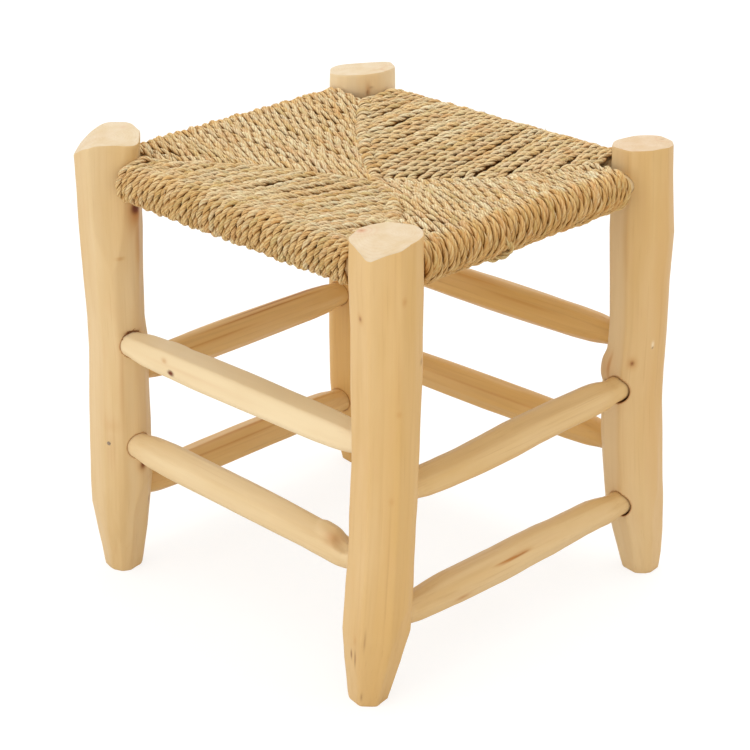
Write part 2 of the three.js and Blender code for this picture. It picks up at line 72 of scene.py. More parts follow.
# The posts in order round the stool. Shifts, bends and radii are shares of POST_RADIUS, and a
# flat is (where it faces in turns, its depth). A top falls away round towards its shoulders,
# (where each faces in turns, where it starts, how far it falls at the rim), as shares. A cut is a
# flat with its middle height and half length in millimetres, and a foot flat is (degrees, depth).
# A bump is (height, degrees, half length, half width, rise, sharpness), and rough is how far the
# sawn top is from smooth, in millimetres.
POSTS = [
    {
        "name": "front_left",
        "corner": (-1, -1),
        "foot_shift": (0.04, 0.22),
        "top_shift": (-0.035, 0.225),
        "radii": [0.63, 0.71, 0.83, 0.96, 1.01, 0.99, 0.97, 0.97, 0.92, 0.96, 1.01, 1.04, 1.07],
        "bends": [0.02, 0.02, 0.01, -0.01, 0.03, 0.04, 0.05, 0.08, 0.01, -0.03, -0.05, -0.07, -0.06],
        "height": 1.01,
        "slant": (-0.03, 0.11),
        "shoulders": [(0.6, 0.03, 0.5), (0.05, 0.5, 0.03)],
        "flats": [(0.82, 0.93), (0.95, 0.96), (0.1, 0.95), (0.35, 0.94), (0.6, 0.93)],
        "cuts": [
            (0.87, 0.8, 455, 90),
            (0.62, 0.94, 450, 80),
            (0.12, 0.92, 450, 80),
            (0.2, 0.92, 455, 60),
            (0.744, 0.885, 230, 300),
        ],
        "foot_flats": [(-106, 0.87), (-61, 0.965), (-35, 0.97), (10, 0.86)],
        "bumps": [(384, 14, 11, 9, 0.9, 1), (460, 4, 24, 8, 4, 1)],
    },
    {
        "name": "front_right",
        "corner": (1, -1),
        "foot_shift": (-0.01, -0.11),
        "top_shift": (0.08, -0.06),
        "radii": [0.62, 0.73, 0.87, 1, 0.99, 0.98, 0.99, 0.97, 0.98, 1.01, 1.01, 1.05, 1.03],
        "bends": [-0.21, -0.16, -0.1, -0.02, 0.02, 0.07, 0.1, 0.11, 0.1, 0.08, 0.05, -0.02, -0.04],
        "height": 1.0042,
        "slant": (0.045, 0.085),
        "shoulders": [(0.8, 0.2, 0.35)],
        "flats": [(0.74, 0.95), (0.87, 0.9), (0.98, 0.96), (0.3, 0.94), (0.55, 0.95)],
        "cuts": [(0.708, 0.865, 250, 330)],
        "foot_flats": [(-103, 0.86), (-47, 0.93), (9, 0.85)],
    },
    {
        "name": "back_right",
        "corner": (1, 1),
        "foot_shift": (0.35, 0.26),
        "top_shift": (-0.17, -0.13),
        "radii": [0.63, 0.74, 0.85, 0.95, 0.96, 1, 0.97, 0.93, 0.92, 0.95, 1.02, 0.98, 0.95],
        "bends": [0.19, 0.15, 0.08, -0.03, -0.08, -0.15, -0.17, -0.08, -0.02, 0, 0.05, 0.05, 0.05],
        "height": 1.002,
        "slant": (0.09, 0.025),
        "shoulders": [(0.1, 0.5, 0.05)],
        "flats": [(0.7, 0.93), (0.83, 0.94), (0.94, 0.93), (0.2, 0.94), (0.46, 0.95)],
        "cuts": [(0.722, 0.9, 250, 330), (0.864, 0.915, 250, 330)],
        "foot_flats": [(-98, 0.83), (-42, 0.955), (5, 0.87)],
        "bumps": [(223, -126, 15, 12, 4, 2)],
        "rough": 0.35,
    },
    {
        "name": "back_left",
        "corner": (-1, 1),
        "foot_shift": (-0.08, -0.13),
        "top_shift": (-0.14, -0.25),
        "radii": [0.66, 0.78, 0.9, 1.04, 1.08, 1.1, 1.1, 1.1, 1.1, 1.12, 1.14, 1.16, 1.14],
        "bends": [0, 0, -0.02, -0.04, -0.06, -0.07, -0.07, -0.07, -0.05, -0.03, 0, 0, 0],
        "height": 0.999,
        "slant": (0.126, 0.026),
        "shoulders": [(0.35, 0.5, 0.05)],
        "flats": [(0.78, 0.95), (0.9, 0.94), (0.15, 0.93), (0.4, 0.95), (0.62, 0.94)],
        "cuts": [(0.84, 0.9, 450, 120)],
        "foot_flats": [(-100, 0.88), (-50, 0.93), (0, 0.88)],
    },
]

# The stretchers: posts at each end, height of each end, rise of the middle, turn of the flats,
# and for one how far to the outside of its post's axis each end goes in, all as shares
STRETCHERS = [
    {
        "name": "front_upper",
        "ends": (0, 1),
        "heights": (0.555, 0.556),
        "bow": 0.02,
        "turn": 0,
        "out": (0.13, 0),
    },
    {"name": "front_lower", "ends": (0, 1), "heights": (0.316, 0.298), "bow": 0.1, "turn": 0.08},
    {"name": "right_upper", "ends": (1, 2), "heights": (0.454, 0.456), "bow": -0.05, "turn": 0.05},
    {"name": "right_lower", "ends": (1, 2), "heights": (0.174, 0.178), "bow": -0.08, "turn": 0.12},
    {"name": "back_upper", "ends": (2, 3), "heights": (0.553, 0.553), "bow": -0.05, "turn": 0.03},
    {"name": "back_lower", "ends": (2, 3), "heights": (0.3, 0.302), "bow": 0, "turn": 0.1},
    {"name": "left_upper", "ends": (3, 0), "heights": (0.455, 0.462), "bow": 0.02, "turn": 0.06},
    {"name": "left_lower", "ends": (3, 0), "heights": (0.176, 0.179), "bow": 0.02, "turn": 0.02},
]


def linear(red, green, blue):
    """A colour given as 0 to 255 in the sRGB curve, made linear."""
    shares = [value / 255 for value in (red, green, blue)]
    curve = [s / 12.92 if s <= 0.04045 else ((s + 0.055) / 1.055) ** 2.4 for s in shares]
    return (*curve, 1)


# Camera, from the perspective of the photograph
CAMERA_PLACE = Vector((1463.57, -1571.64, 1141.36)) * MM
CAMERA_TARGET = Vector((1.08, 0.99, 210.6)) * MM
CAMERA_ROLL = math.radians(0.998)
FOCAL_LENGTH = 113.96


def add_camera():
    forward = (CAMERA_TARGET - CAMERA_PLACE).normalized()
    level = forward.cross(UP).normalized()
    upright = level.cross(forward)
    right = level * math.cos(CAMERA_ROLL) + upright * math.sin(CAMERA_ROLL)
    over = upright * math.cos(CAMERA_ROLL) - level * math.sin(CAMERA_ROLL)
    data = bpy.data.cameras.new("camera")
    data.sensor_width = 36
    data.lens = FOCAL_LENGTH
    data.clip_start = 0.1
    data.clip_end = 50
    camera = bpy.data.objects.new("camera", data)
    axes = Matrix((right, over, -forward)).transposed().to_4x4()
    camera.matrix_world = Matrix.Translation(CAMERA_PLACE) @ axes
    bpy.context.scene.collection.objects.link(camera)
    bpy.context.scene.camera = camera


# Studio. A lamp is (name, place, size, watts, colour).
LAMPS = [
    ("key", (-0.1, -2.5, 2.4), 2.0, 8.8, (1, 1, 1)),
    ("low", (-0.1, -2.8, 0.9), 1.6, 4.5, (1, 0.97, 0.88)),
    ("top", (-0.2, 0.6, 2.9), 1.4, 17.5, (1, 1, 1)),
]
LAMPS_AIM = Vector((0, 0, 0.25))
SKY_COLOUR = (1, 0.98, 0.92, 1)
SKY_STRENGTH = 0.98
SKY_FALL = -0.12  # how much the sky weakens towards the right of the picture
RIGHTWARDS = (0.73, 0.68, 0)
FLOOR_HALF = 6
FLOOR_GLOW = 0.62  # how much of the floor that the camera sees is plain white
WHITE = (1, 1, 1, 1)


def add_lamp(name, place, size, watts, colour):
    data = bpy.data.lights.new(name, "AREA")
    data.shape = "DISK"
    data.size = size
    data.energy = watts
    data.color = colour
    lamp = bpy.data.objects.new(name, data)
    turned = (LAMPS_AIM - Vector(place)).to_track_quat("-Z", "Y").to_matrix().to_4x4()
    lamp.matrix_world = Matrix.Translation(place) @ turned
    bpy.context.scene.collection.objects.link(lamp)


def add_sky():
    """Soft light from all round, a little weaker from the right, on a plain white ground."""
    world = bpy.data.worlds.new("studio")
    world.use_nodes = True
    bpy.context.scene.world = world
    tree = world.node_tree
    tree.nodes.clear()
    direction = add(tree, "ShaderNodeTexCoord").outputs["Generated"]
    right = add(tree, "ShaderNodeVectorMath", operation="DOT_PRODUCT")
    tree.links.new(direction, right.inputs[0])
    right.inputs[1].default_value = RIGHTWARDS
    strength = maths(tree, "MULTIPLY_ADD", right.outputs["Value"], SKY_FALL, SKY_STRENGTH)
    light = add(tree, "ShaderNodeBackground", Color=SKY_COLOUR, Strength=strength)
    white = add(tree, "ShaderNodeBackground", Color=WHITE, Strength=1.0)
    rays = add(tree, "ShaderNodeLightPath").outputs
    seen = maths(tree, "MAXIMUM", rays["Is Camera Ray"], rays["Is Glossy Ray"])
    mixed_surface(tree, "ShaderNodeOutputWorld", seen, light, white)


def add_floor():
    half = FLOOR_HALF
    corners = [(-half, -half, 0), (half, -half, 0), (half, half, 0), (-half, half, 0)]
    mesh = bpy.data.meshes.new("floor")
    mesh.from_pydata(corners, [], [(0, 1, 2, 3)])
    floor = bpy.data.objects.new("floor", mesh)
    bpy.context.scene.collection.objects.link(floor)
    material = new_material("pale_floor")
    tree = material.node_tree
    matt = add(tree, "ShaderNodeBsdfDiffuse", Color=linear(240, 240, 240))
    glow = add(tree, "ShaderNodeEmission", Color=WHITE, Strength=1.2)
    rays = add(tree, "ShaderNodeLightPath").outputs
    share = maths(tree, "MULTIPLY", rays["Is Camera Ray"], FLOOR_GLOW)
    mixed_surface(tree, "ShaderNodeOutputMaterial", share, matt, glow)
    mesh.materials.append(material)


# Node helpers
def feed(tree, socket, value):
    """Sets an input to a value, or from another node's output."""
    if isinstance(value, bpy.types.NodeSocket):
        tree.links.new(value, socket)
    else:
        socket.default_value = value


def add(tree, kind, operation=None, **inputs):
    node = tree.nodes.new(kind)
    if operation:
        node.operation = operation
    for name, value in inputs.items():
        feed(tree, node.inputs[name.replace("_", " ")], value)
    return node


def attribute(tree, name, output="Fac"):
    node = tree.nodes.new("ShaderNodeAttribute")
    node.attribute_name = name
    return node.outputs[output]


def maths(tree, operation, *values):
    node = add(tree, "ShaderNodeMath", operation)
    for socket, value in zip(node.inputs, values):
        feed(tree, socket, value)
    return node.outputs[0]


def stretched(tree, vector, scale):
    return add(tree, "ShaderNodeMapping", Vector=vector, Scale=scale).outputs[0]


def noise(tree, vector, scale, detail=3.0, roughness=0.5, distortion=0.0):
    node = add(tree, "ShaderNodeTexNoise", Vector=vector, Scale=scale, Detail=detail)
    node.inputs["Roughness"].default_value = roughness
    node.inputs["Distortion"].default_value = distortion
    return node.outputs["Fac"]


def spread(tree, value, low, high, most=None):
    """Rises from 0 to most, or to 1, as the value goes from low to high."""
    node = add(tree, "ShaderNodeMapRange", Value=value, From_Min=low, From_Max=high)
    risen = node.outputs["Result"]
    return risen if most is None else maths(tree, "MULTIPLY", risen, most)


def blend(tree, share, first, second):
    node = tree.nodes.new("ShaderNodeMix")
    node.data_type = "RGBA"
    for name, value in (("Factor", share), (6, first), (7, second)):
        feed(tree, node.inputs[name], value)
    return node.outputs[2]


def tinted(tree, colour, tints):
    """A colour with others laid over it in turn. Each is (share, red, green, blue)."""
    for share, *tint in tints:
        colour = blend(tree, share, colour, linear(*tint))
    return colour


def surface(tree, colour, roughness, height, depth, **inputs):
    """The surface of a material, with relief of the given depth from its height."""
    bump = add(tree, "ShaderNodeBump", Height=height, Distance=depth, Strength=1.0)
    inputs.update(Base_Color=colour, Roughness=roughness, Normal=bump.outputs[0])
    shader = add(tree, "ShaderNodeBsdfPrincipled", **inputs)
    add(tree, "ShaderNodeOutputMaterial", Surface=shader.outputs[0])


def mixed_surface(tree, kind, share, first, second):
    mix = add(tree, "ShaderNodeMixShader", Fac=share)
    tree.links.new(first.outputs[0], mix.inputs[1])
    tree.links.new(second.outputs[0], mix.inputs[2])
    add(tree, kind, Surface=mix.outputs[0])


def new_material(name):
    material = bpy.data.materials.new(name)
    material.use_nodes = True
    material.node_tree.nodes.clear()
    return material


RING_PITCH = 2.9 * MM  # from one year's ring to the next
# The light, middle and dark colours of the wood
POST_COLOURS = [(224, 198, 156), (213, 182, 133), (180, 132, 74)]
STRETCHER_COLOURS = [(228, 202, 159), (216, 184, 133), (160, 104, 46)]


# Wood. The attribute "grain" holds a point's place in its own limb: two distances from the
# pith, then the distance along the grain. The layers of tone, amber, pale and knot hold the marks:
# the wood's own colour, and in places painted warm shade and painted light.
def wood_material(name, light, middle, dark, streaks, golden_streaks):
    material = new_material(name)
    tree = material.node_tree
    grain = attribute(tree, "grain", "Vector")
    broad = noise(tree, stretched(tree, grain, (1, 1, 0.16)), 34)
    streak = noise(tree, stretched(tree, grain, (1, 1, 0.03)), 170, 3, 0.5, 0.4)
    line = noise(tree, stretched(tree, grain, (1, 1, 0.016)), 520, 2)
    fine = noise(tree, stretched(tree, grain, (1, 1, 0.05)), 1700, 2, 0.6)
    blotch = noise(tree, stretched(tree, grain, (1, 1, 0.5)), 80, 2)
    tone_and_shade = attribute(tree, "tone_and_shade")
    strong = maths(tree, "MULTIPLY_ADD", tone_and_shade, golden_streaks, streaks)
    colour = blend(tree, spread(tree, broad, 0.34, 0.68), linear(*light), linear(*middle))
    tints = [
        # Golden tone: the wood's own colour, and painted warm shade where the layer is raised for
        # it.
        (tone_and_shade, 217, 167, 84),
        (spread(tree, streak, 0.5, 0.8, strong), *dark),
        (spread(tree, line, 0.6, 0.76, strong), *dark),
        (spread(tree, blotch, 0.55, 0.8, 0.14), 218, 172, 126),
        (attribute(tree, "pale_and_lit"), 247, 232, 200),
        (attribute(tree, "amber_and_shade"), 186, 116, 38),
        (attribute(tree, "knot"), 108, 42, 0),
    ]
    roughness = maths(tree, "MULTIPLY_ADD", fine, 0.16, 0.36)
    relief = maths(tree, "MULTIPLY_ADD", streak, 0.6, maths(tree, "MULTIPLY", fine, 0.16))
    surface(tree, tinted(tree, colour, tints), roughness, relief, 0.18 * MM, Specular_IOR_Level=0.3)
    return material


def sawn_material():
    """End grain on the sawn tops and feet: rings round the pith, and saw marks."""
    material = new_material("wood_sawn_end")
    tree = material.node_tree
    grain = attribute(tree, "grain", "Vector")
    flat = stretched(tree, grain, (1, 1, 0))
    wander = maths(tree, "MULTIPLY", noise(tree, flat, 60, 2), 9.0)
    radius = add(tree, "ShaderNodeVectorMath", operation="LENGTH")
    tree.links.new(flat, radius.inputs[0])
    turns = maths(tree, "MULTIPLY_ADD", radius.outputs["Value"], 2 * math.pi / RING_PITCH, wander)
    ring = spread(tree, maths(tree, "SINE", turns), 0.2, 1.0)
    saw = noise(tree, stretched(tree, grain, (0.08, 1, 1)), 900, 3, 0.6)
    cloud = spread(tree, noise(tree, flat, 55), 0.35, 0.7)
    colour = blend(tree, cloud, linear(221, 204, 178), linear(213, 191, 156))
    tints = [
        (maths(tree, "MULTIPLY", ring, 0.08), 206, 162, 112),
        (spread(tree, saw, 0.5, 0.8, 0.25), 214, 178, 130),
        (attribute(tree, "amber_and_shade"), 204, 132, 92),
        (attribute(tree, "knot"), 112, 66, 38),
    ]
    roughness = maths(tree, "MULTIPLY_ADD", saw, 0.2, 0.62)
    relief = maths(tree, "MULTIPLY_ADD", saw, 0.6, maths(tree, "MULTIPLY", ring, 0.25))
    surface(tree, tinted(tree, colour, tints), roughness, relief, 0.5 * MM, Specular_IOR_Level=0.3)
    return material


def steel_material():
    material = new_material("dull_steel")
    tree = material.node_tree
    cloud = noise(tree, add(tree, "ShaderNodeTexCoord").outputs["Object"], 900, 3, 0.6)
    colour = blend(tree, spread(tree, cloud, 0.35, 0.7), linear(176, 158, 138), linear(120, 98, 80))
    surface(tree, colour, 0.5, cloud, 0.1 * MM, Metallic=0.75)
    return material


def cord_material():
    """Dry palm leaf: straw, tan, russet and olive lengths with fine fibres along each ply, and
    painted shade in crevices, on undersides and hidden layers, and on the wraps' outer sides.
    """
    material = new_material("palm_leaf_cord")
    tree = material.node_tree
    fibre = attribute(tree, "fibre", "Vector")
    tint, hue, deep = (attribute(tree, name) for name in ("tint", "hue", "painted_cord_shade"))
    leaf = noise(tree, stretched(tree, fibre, (1, 1, 34)), 2.1, 3, 0.6)
    strand = noise(tree, stretched(tree, fibre, (1, 1, 26)), 5.5, 4, 0.65)
    hair = noise(tree, stretched(tree, fibre, (1, 1, 9)), 17, 3, 0.6)
    wander = maths(tree, "MULTIPLY", leaf, 5.0)
    turns = maths(tree, "MULTIPLY_ADD", attribute(tree, "leaf"), 2 * math.pi, wander)
    ridge = spread(tree, maths(tree, "SINE", turns), -1.0, 1.0)
    straw, bleached = linear(241, 204, 140), linear(255, 245, 208)
    colour = blend(tree, spread(tree, tint, 0.0, 0.95), straw, bleached)
    tints = [
        # Where the tint is low the cord turns a darker gold: painted shade on the wraps' outer
        # sides, and darker lengths of leaf elsewhere.
        (spread(tree, tint, 0.05, -0.9, 0.6), 208, 156, 76),
        (spread(tree, hue, 0.3, 1.1, 0.35), 222, 160, 108),
        (spread(tree, hue, -0.3, -1.1, 0.5), 208, 186, 114),
        (spread(tree, leaf, 0.5, 0.72, 0.5), 200, 132, 64),
        (spread(tree, leaf, 0.48, 0.28, 0.55), 255, 238, 194),
        (spread(tree, strand, 0.5, 0.74, 0.62), 160, 100, 46),
        (spread(tree, hair, 0.5, 0.78, 0.6), 255, 238, 192),
        (spread(tree, ridge, 0.3, 0.0, 0.5), 190, 122, 56),
        # Painted shade: browner and darker in the crevices between the plies, on the cord's
        # undersides and on its hidden layers.
        (spread(tree, deep, 0.2, 0.65, 0.4), 204, 138, 44),
        (spread(tree, deep, 0.5, 0.9, 0.85), 140, 82, 8),
    ]
    roughness = maths(tree, "MULTIPLY_ADD", hair, 0.2, 0.52)
    relief = maths(tree, "MULTIPLY_ADD", strand, 0.5, maths(tree, "MULTIPLY", hair, 0.3))
    relief = maths(tree, "MULTIPLY_ADD", ridge, 0.55, relief)
    surface(tree, tinted(tree, colour, tints), roughness, relief, 1.3 * MM, Specular_IOR_Level=0.12)
    return material


# Smooth random curves
def drift(places, wavelength, seed):
    """Smooth random values between -1 and 1 along a line, about one swing a wavelength."""
    source = np.random.default_rng(seed)
    steps = np.asarray(places, float) / wavelength
    low = np.floor(steps).astype(int)
    first = low.min()
    knots = source.uniform(-1, 1, low.max() - first + 2)
    share = steps - low
    share = share * share * (3 - 2 * share)
    return knots[low - first] * (1 - share) + knots[low - first + 1] * share


def turned_from(angles, degrees):
    """How far angles are turned from one given in degrees, between minus pi and pi."""
    return np.angle(np.exp(1j * (angles - math.radians(degrees))))


# Whittled limbs
def add_bumps(reach, along, angles, radius, bumps):
    """Raises or sinks places on a skin."""
    for where, degrees, length, width, rise, sharpness in bumps:
        around = turned_from(angles, degrees) * radius / (width * MM)
        away = ((along - where * MM) / (length * MM))[:, None] ** 2 + around[None, :] ** 2
        reach += rise * MM * np.exp(-(away ** sharpness))


def outline(angles, along, flats, cuts):
    """How far a limb's skin lies from its axis, as a share of its radius, on a grid of places
    along it and angles round it. flats run its whole length and cuts fade out at both ends."""
    power = 110
    total = np.ones((len(along), len(angles)))
    for turn, depth in flats:
        slope = np.cos(angles - turn * 2 * math.pi)
        reach = depth / np.maximum(slope, 0.2)
        total += (reach ** -power)[None, :]
    for turn, depth, middle, half in cuts:
        slope = np.cos(angles - turn * 2 * math.pi)
        lift = 0.05 * ((along - middle) / half) ** 4
        reach = (depth + lift)[:, None] / np.maximum(slope, 0.2)[None, :]
        total += reach ** -power
    return total ** (-1 / power)


def random_cuts(seed, count, low, high, depths, halves):
    source = np.random.default_rng(seed)
    cuts = []
    for _ in range(count):
        turn = source.uniform(0, 1)
        depth, middle = source.uniform(*depths), source.uniform(low, high)
        cuts.append((turn, depth, middle, source.uniform(*halves)))
    return cuts


def skin(rings):
    """Vertices and faces of a closed skin over rings of points, the ends closed by fans."""
    count, sides = rings.shape[:2]
    points = rings.reshape(-1, 3)
    ring, side = np.meshgrid(np.arange(count - 1), np.arange(sides), indexing="ij")
    after = ring * sides + (side + 1) % sides
    side = ring * sides + side
    quads = np.stack([side, after, after + sides, side + sides], axis=-1)
    start = len(points)
    points = np.vstack([points, rings[0].mean(0), rings[-1].mean(0)])
    faces = quads.reshape(-1, 4).tolist()
    last = (count - 1) * sides
    for k in range(sides):
        faces.append((start, (k + 1) % sides, k))
        faces.append((start + 1, last + k, last + (k + 1) % sides))
    return points, faces


def new_piece(name, points, faces, *materials):
    mesh = bpy.data.meshes.new(name)
    mesh.from_pydata(points.tolist(), [], faces)
    for material in materials:
        mesh.materials.append(material)
    mesh.shade_smooth()
    piece = bpy.data.objects.new(name, mesh)
    bpy.context.scene.collection.objects.link(piece)
    return piece


def dress(piece, node):
    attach(piece, "root")
    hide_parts(node)


def cut(piece, cutters):
    """Cuts closed pieces out of a piece, and deletes them."""
    for cutter in cutters:
        modifier = piece.modifiers.new("cut", "BOOLEAN")
        modifier.operation = "DIFFERENCE"
        modifier.solver = "MANIFOLD"
        modifier.object = cutter
    depsgraph = bpy.context.evaluated_depsgraph_get()
    mesh = bpy.data.meshes.new_from_object(piece.evaluated_get(depsgraph))
    piece.modifiers.clear()
    piece.data = mesh
    for cutter in cutters:
        bpy.data.objects.remove(cutter)


def coordinates(mesh):
    places = np.empty(len(mesh.vertices) * 3)
    mesh.vertices.foreach_get("co", places)
    return places.reshape(-1, 3)


def store(mesh, name, values):
    kind = "FLOAT_VECTOR" if values.ndim == 2 else "FLOAT"
    layer = mesh.attributes.new(name, kind, "POINT")
    layer.data.foreach_set("vector" if values.ndim == 2 else "value", values.ravel())


def store_marks(mesh, local, marks, layers):
    """Adds the marks of a limb to its layers, from its points in the limb's own frame, and stores
    them. A mark is (layer, along, degrees, half length, half width, strength, sharpness), with
    its lengths in millimetres."""
    angles = np.arctan2(local[:, 1], local[:, 0])
    radius = np.hypot(local[:, 0], local[:, 1])
    for kind, along, degrees, length, width, strength, sharpness in marks:
        around = turned_from(angles, degrees) * radius / (width * MM)
        away = ((local[:, 2] - along * MM) / (length * MM)) ** 2 + around ** 2
        layers[kind] = np.maximum(layers[kind], strength * np.exp(-(away ** sharpness)))
    for kind, values in layers.items():
        store(mesh, kind, values)


def blank_layers(count, tone_and_shade):
    layers = {name: np.zeros(count) for name in ("knot", "amber_and_shade", "pale_and_lit")}
    layers["tone_and_shade"] = np.full(count, float(tone_and_shade))
    return layers


# Posts
BEND_WAY = Vector((1, 1)).normalized()
OUTSIDE = [Vector((0, -1, 0)), Vector((1, 0, 0)), Vector((0, 1, 0)), Vector((-1, 0, 0))]


def post_axis(plan, height):
    share = height / HEIGHT
    bend = np.interp(share, STATIONS, plan["bends"])
    place = []
    for axis in (0, 1):
        shift = plan["foot_shift"][axis] * (1 - share) + plan["top_shift"][axis] * share
        side = plan["corner"][axis] * SPACING / 2
        place.append(side + (shift + bend * BEND_WAY[axis]) * POST_RADIUS)
    return np.array(place)


def post_radius(plan, height):
    return np.interp(height / HEIGHT, STATIONS, plan["radii"]) * POST_RADIUS


def top_height(plan, x, y):
    """Height of the sawn top over a point at x, y from the post's axis."""
    level = plan["height"] * HEIGHT + x * plan["slant"][0] + y * plan["slant"][1]
    for turn, start, fall in plan["shoulders"]:
        angle = turn * 2 * math.pi
        out = (x * math.cos(angle) + y * math.sin(angle)) / POST_RADIUS
        past = np.maximum(out - start, 0) / (1 - start)
        level = level - fall * POST_RADIUS * past ** 2
    return level


POST_SIDES = 128
POST_STEP = 1.7 * MM
POST_RIPPLES = [(0.05, 2, 1.0), (0.035, 3, 2.2), (0.02, 5, 0.4)]
POST_CUTS = 34  # whittled flats at random places
FOOT_CUTS = 9  # and round the foot
DRAWN_OUT = 40 * MM  # length over which a post follows the slant of its top
RIM = [(0.3, 0.25), (0.8, 0.06), (1.5, 0)]  # inset and drop of the sawn rim, in millimetres


def rippled(along, angles, ripples, seed):
    """Random ripples, each (wavelength in metres, how many round the limb, phase)."""
    return sum(
        drift(along, wave, seed + k)[:, None] * np.cos(angles * count + phase)[None, :]
        for k, (wave, count, phase) in enumerate(ripples)
    )


def post_rings(plan, seed):
    angles = np.arange(POST_SIDES) / POST_SIDES * 2 * math.pi
    top = plan["height"] * HEIGHT
    heights = np.arange(POST_RIM, top, POST_STEP)
    halves = (30 * MM, 120 * MM)
    cuts = random_cuts(seed, POST_CUTS, 0.08 * HEIGHT, HEIGHT, (0.965, 0.992), halves)
    source = np.random.default_rng(seed + 1)
    turns = (np.arange(FOOT_CUTS) + source.uniform(-0.25, 0.25, FOOT_CUTS)) / FOOT_CUTS
    for turn in turns:
        cuts.append((turn, source.uniform(0.93, 0.965), 0, source.uniform(60, 95) * MM))
    cuts += [(turn, depth, middle * MM, half * MM) for turn, depth, middle, half in plan["cuts"]]
    cuts += [(degrees / 360, depth, 0, 75 * MM) for degrees, depth in plan["foot_flats"]]
    shares = outline(angles, heights, plan["flats"], cuts)
    rounding = np.clip(heights / POST_RIM - 1, 0, 3)
    radii = np.array([post_radius(plan, h) for h in heights]) - 0.12 * POST_RIM * np.exp(-rounding)
    axes = np.array([post_axis(plan, h) for h in heights])
    reach = radii[:, None] * shares + 0.22 * MM * rippled(heights, angles, POST_RIPPLES, seed)
    add_bumps(reach, heights, angles, POST_RADIUS, plan.get("bumps", []))
    x = reach * np.cos(angles)
    y = reach * np.sin(angles)
    drawn_from = top - DRAWN_OUT
    share = np.clip((heights - drawn_from) / (top - drawn_from), 0, 1)
    lift = (top_height(plan, x, y) - top) * share[:, None]
    rings = [*np.stack([axes[:, :1] + x, axes[:, 1:] + y, heights[:, None] + lift], axis=-1)]
    for inset, drop in RIM:
        share = 1 - inset * MM / POST_RADIUS
        end_x, end_y = x[-1] * share, y[-1] * share
        height = top_height(plan, end_x, end_y) - drop * MM
        rings.append(np.stack([axes[-1, 0] + end_x, axes[-1, 1] + end_y, height], axis=-1))
    for share in np.linspace(0.9, 0.05, 16):
        end_x, end_y = x[-1] * share, y[-1] * share
        saw = drift(x[-1] * share * 0.3 + y[-1] * share, 2.5 * MM, seed + 9)
        height = top_height(plan, end_x, end_y) + plan.get("rough", 0.1) * MM * saw
        rings.append(np.stack([axes[-1, 0] + end_x, axes[-1, 1] + end_y, height], axis=-1))
    foot = []
    edge = 0.5 * POST_RIM / POST_RADIUS
    for share, height in [(0.1, 0), (0.5, 0), (1 - edge, 0), (1 - 0.3 * edge, 0.3 * POST_RIM)]:
        place = [axes[0, 0] + x[0] * share, axes[0, 1] + y[0] * share, 0 * x[0] + height]
        foot.append(np.stack(place, axis=-1))
    return np.array(foot + rings)


def bar_frame(start, end):
    """The frame of a bar from one point to another: along, across, up and the middle."""
    along = (end - start).normalized()
    across = UP.cross(along).normalized()
    return Matrix((across, along.cross(across), along)).transposed(), (start + end) / 2


def bar_ends(plan):
    points = []
    for k, height, out in zip(plan["ends"], plan["heights"], plan.get("out", (0, 0))):
        place = Vector((*post_axis(POSTS[k], height * HEIGHT), height * HEIGHT))
        points.append(place + OUTSIDE[plan["ends"][0]] * out * POST_RADIUS)
    return points


def rod(name, start, end, first, last, radius):
    """A plain closed rod on the line from start to end, between two distances from the middle."""
    axes, middle = bar_frame(start, end)
    angles = np.arange(40) / 40 * 2 * math.pi
    ring = np.stack([np.cos(angles) * radius, np.sin(angles) * radius, 0 * angles], axis=-1)
    rings = np.stack([ring + [0, 0, first], ring + [0, 0, last]])
    return new_piece(name, *skin(rings @ np.array(axes).T + np.array(middle)))


# How loosely a tenon sits in its mortise: (stretcher, post) to the gap all round, and how far the
# hole lies across and up from the tenon, in millimetres
LOOSE = {(2, 2): (1.1, -0.9, -0.7), (3, 2): (1.0, -0.8, -0.7)}
SNUG = (0.4, 0, 0)


def hole(index, k):
    """The radius of a mortise, and its ends."""
    gap, across, up = (size * MM for size in LOOSE.get((index, k), SNUG))
    start, end = bar_ends(STRETCHERS[index])
    axes, _ = bar_frame(start, end)
    shift = axes @ Vector((across, up, 0))
    return TENON_RADIUS + gap, start + shift, end + shift


def mortises(k):
    """Closed rods for the mortises of one post."""
    cutters = []
    for index, plan in enumerate(STRETCHERS):
        if k not in plan["ends"]:
            continue
        radius, start, end = hole(index, k)
        half = (end - start).length / 2
        deep = half + TENON_PAST_AXIS + GAP
        near = half - 2 * POST_RADIUS
        span = (-deep, -near) if plan["ends"][0] == k else (near, deep)
        cutters.append(rod("mortise", start, end, *span, radius))
    for rail in (k, (k - 1) % 4):
        start, end = rail_ends(rail)
        half = (end - start).length / 2
        deep = half - RAIL_SHORT_OF_AXIS + GAP
        near = half - 2 * POST_RADIUS
        span = (-deep, -near) if rail == k else (near, deep)
        cutters.append(rod("rail_mortise", start, end, *span, RAIL_TENON_RADIUS + GAP))
    return cutters


def mortise_stain(k, places):
    """The dark line round each mortise of a post, and the dark wood inside it."""
    stain = np.zeros(len(places))
    for index, plan in enumerate(STRETCHERS):
        if k not in plan["ends"]:
            continue
        radius, start, end = hole(index, k)
        axes, middle = bar_frame(start, end)
        local = (places - np.array(middle)) @ np.array(axes)
        side = -1 if plan["ends"][0] == k else 1
        past = np.hypot(local[:, 0], local[:, 1]) - radius
        deep = side * local[:, 2]
        near = (deep > 0) & (deep < (end - start).length / 2 + TENON_PAST_AXIS + 2 * GAP)
        edge = np.exp(-((np.maximum(past, 0) / (0.6 * MM)) ** 2))
        stain = np.maximum(stain, np.where(near & (past < 3 * MM), edge, 0))
    return stain


def rail_ends(rail):
    ends = [POSTS[rail], POSTS[(rail + 1) % 4]]
    return [Vector((*post_axis(end, RAIL_HEIGHT), RAIL_HEIGHT)) for end in ends]


# Partly the wood's own colour and partly painted warm shade.
POST_TONES = [0.02, 0.3, 0.24, 0.1]  # how golden each post is
